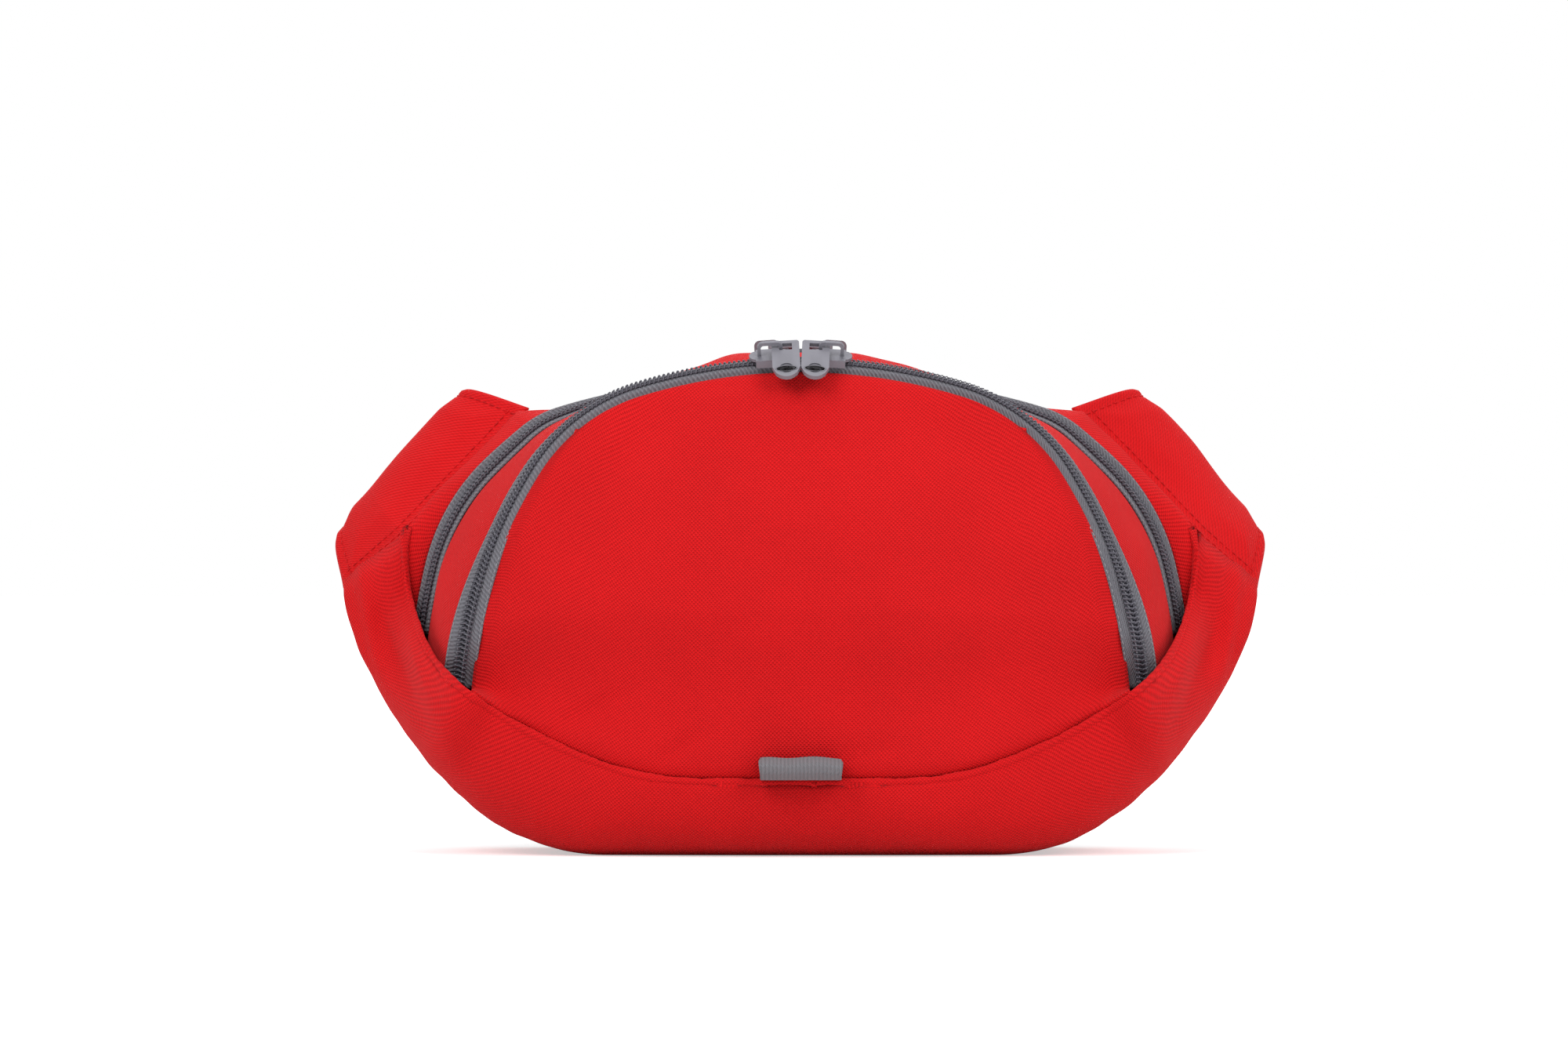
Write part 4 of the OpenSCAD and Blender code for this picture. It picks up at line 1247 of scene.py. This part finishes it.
def contents():
    roll("crepe_roll", "crepe_bandage", -66, 2, -20, 18.6, 15.4, 2.5, CREPE, 1.7)
    roll("gauze_roll", "gauze_bandage", 5, 55, -20, 15.6, 12.4, 2.5, GAUZE, 1.3)
    roll("tape_roll", "tape_reel", 59, 77, -16, 25, 16.9, 9, PAPER, 0.9, 0.03)
    for i in range(3):
        low = (-62 + 3 * i, -15 + 3.4 * i, 40)
        high = (38 + 3 * i, -12 + 3.4 * i, 96 - 4 * i)
        pack = pouch(f"dressing_pack_{i}", low, high, PAPER, 5, i, wave=0.2)
    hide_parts("dressing_packs")
    for name, node, low, high, material, slot, rim in (
            ("plaster_wallet_film", "plaster_wallet", (46, -14.5, 44), (92, -6, 96), FILM, "clear_film", 3),
            ("triangular_cloth", "triangular_bandage", (-98, -16, 46), (-66, 0, 106), GAUZE,
             "gauze_cotton", 0),
            ("foil_pouch", "foil_blanket_pouch", (-96, 7, 30), (-16, 17, 104), FOIL, "foil", 4),
            ("glove_bag", "glove_pouch", (-50, 21, 3.4), (50, 33, 52), FILM, "clear_film", 3)):
        piece = pouch(name, low, high, material, rim, len(name))
        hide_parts(node)


def hard_parts():
    """Materials and softened edges of the moulded and metal parts that CAD holds."""
    looks = [("buckle_socket", BLACK_PLASTIC, 0.7), ("buckle_plug", BLACK_PLASTIC, 0.5),
             ("prong_upper", BLACK_PLASTIC, 0.5), ("prong_lower", BLACK_PLASTIC, 0.5),
             ("scissor_fixed", STEEL, 0.15), ("scissor_moving", STEEL, 0.15),
             ("tweezers", STEEL, 0.15), ("saline_vials", VIAL, 0.2)]
    for side in ("left", "right"):
        for which in ("main", "rear"):
            looks += [(f"{which}_slider_{side}", METAL, 0.1), (f"{which}_tab_{side}", TAB, 0.1)]
    for name, material, width in looks:
        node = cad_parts[name]
        for place in node.material_slots:
            place.material = material
        if not node.material_slots:
            node.data.materials.append(material)
        soften(node, width, 3, 35)


def tab_marks():
    """Dark oval recess with a raised rim near the end of each pull tab, on both its faces."""
    zips = (("main", MAIN_CHAIN, MAIN_Y, main_tilt(0), 10, 11, 1),
            ("rear", REAR_CHAIN, REAR_Y, rear_tilt(0), 11, 15, -1))
    profile = ((3.65, -0.03), (3.6, 0.12), (3.45, 0.17), (3.25, 0.1), (3.15, 0.04), (0.3, 0.02))
    for which, chain, depth, tilt, s, rest, up in zips:
        x, z, nx, nz = chain_at(chain, s)
        place = (Matrix.Translation((x, depth, z)) @ Matrix.Rotation(math.atan2(nx, nz), 4, "Y")
                 @ Matrix.Rotation(math.radians(-tilt), 4, "X") @ Matrix.Diagonal((1, 1, up, 1))
                 @ Matrix.Translation((-4.05, -5.6, 0)) @ Matrix.Rotation(math.radians(rest), 4, "X"))
        for side, hand in (("right", 1), ("left", -1)):
            for face in (-1, 1):
                rings = []
                for reach, lift in profile:
                    ring = []
                    for k in range(36):
                        a = 2 * math.pi * k / 36
                        spot = (reach * math.cos(a) - 1.4, face * (0.7 + lift),
                                0.38 * reach * math.sin(a) - 10.3)
                        world = place @ Vector(spot)
                        ring.append((world[0] * hand, world[1], world[2]))
                    rings.append(np.array(ring))
                for part, some, look in (("rim", rings[:5], TAB), ("well", rings[4:], DARK_ZINC)):
                    name = f"{which}_tab_{side}_{part}_{'front' if face < 0 else 'back'}"
                    tubes_piece(name, [some], look, f"{which}_tab_{side}")


wing(1, "wing_right")
wing(-1, "wing_left")
back_pad()
back_binding()
lining_sheets()
bands()
pockets()
contents()
hard_parts()
tab_marks()


# ---------------------------------------------------------------- floor, light and camera
def in_view(n):
    """1 for what the camera sees directly, in a reflection or through film, and 0 for the rest."""
    ray = n.add("LightPath")
    seen = n.out(ray, "Is Camera Ray") + n.out(ray, "Is Glossy Ray") + n.out(ray, "Is Transmission Ray")
    return n.math("MINIMUM", seen, 1.0)


def floor():
    """Pale paper that the object stands on; it glows to plain white away from the object."""
    n = surface("floor_paper")
    spot = n.place()
    far = n.add("VectorMath", operation="LENGTH")
    n.put(far, 0, spot)
    away = (n.out(far, "Value") - 0.35) * 1.2
    glow = n.math("MINIMUM", n.math("MAXIMUM", away, 0.0), 0.6) + 0.5
    n.put(n.shader, "Emission Color", (1, 1, 1, 1))
    n.put(n.shader, "Emission Strength", in_view(n) * glow)
    shown = n.colours(n.noise(spot, 400.0), (0.86, 0.86, 0.86), (0.9, 0.9, 0.9))
    n.finish(shown, 0.9, Specular_IOR_Level=0.0)
    mesh = bpy.data.meshes.new("floor")
    mesh.from_pydata([(-9, -9, 0), (9, -9, 0), (9, 9, 0), (-9, 9, 0)], [], [(0, 1, 2, 3)])
    link("floor", mesh, n.owner)


def studio():
    scene = bpy.context.scene
    scene.view_settings.view_transform = "Standard"
    floor()
    world = bpy.data.worlds.new("studio")
    scene.world = world
    n = Nodes(world, "Background")
    n.put(n.shader, "Color", (1, 1, 1, 1))
    n.put(n.shader, "Strength", in_view(n) * 0.55 + 0.45)

    # Big soft lamps: place, target, power in watts and size in metres
    lamps = (((-0.9, -1.3, 1.5), (0, 0, 0.08), 15, 1.1), ((1.1, -1.2, 1.2), (0, 0, 0.08), 11, 1.1),
             ((0, 0.3, 1.9), (0, 0, 0.1), 10, 1.4), ((0, 1.6, 0.9), (0, 0.05, 0.1), 7, 1.2))
    for k, (spot, target, power, size) in enumerate(lamps):
        light = bpy.data.lights.new(f"lamp_{k}", "AREA")
        light.energy = power
        light.size = size
        lamp = bpy.data.objects.new(f"lamp_{k}", light)
        scene.collection.objects.link(lamp)
        lamp.location = spot
        lamp.rotation_euler = (Vector(target) - Vector(spot)).to_track_quat("-Z", "Y").to_euler()

    view = bpy.data.cameras.new("camera")
    view.sensor_width = 36
    distance, seen_width = 2.6, 0.5
    view.lens = view.sensor_width * distance / seen_width
    camera = bpy.data.objects.new("camera", view)
    scene.collection.objects.link(camera)
    camera.location = (-0.00525, -distance, 0.10512)
    camera.rotation_euler = (math.pi / 2, 0, 0)
    scene.camera = camera


studio()
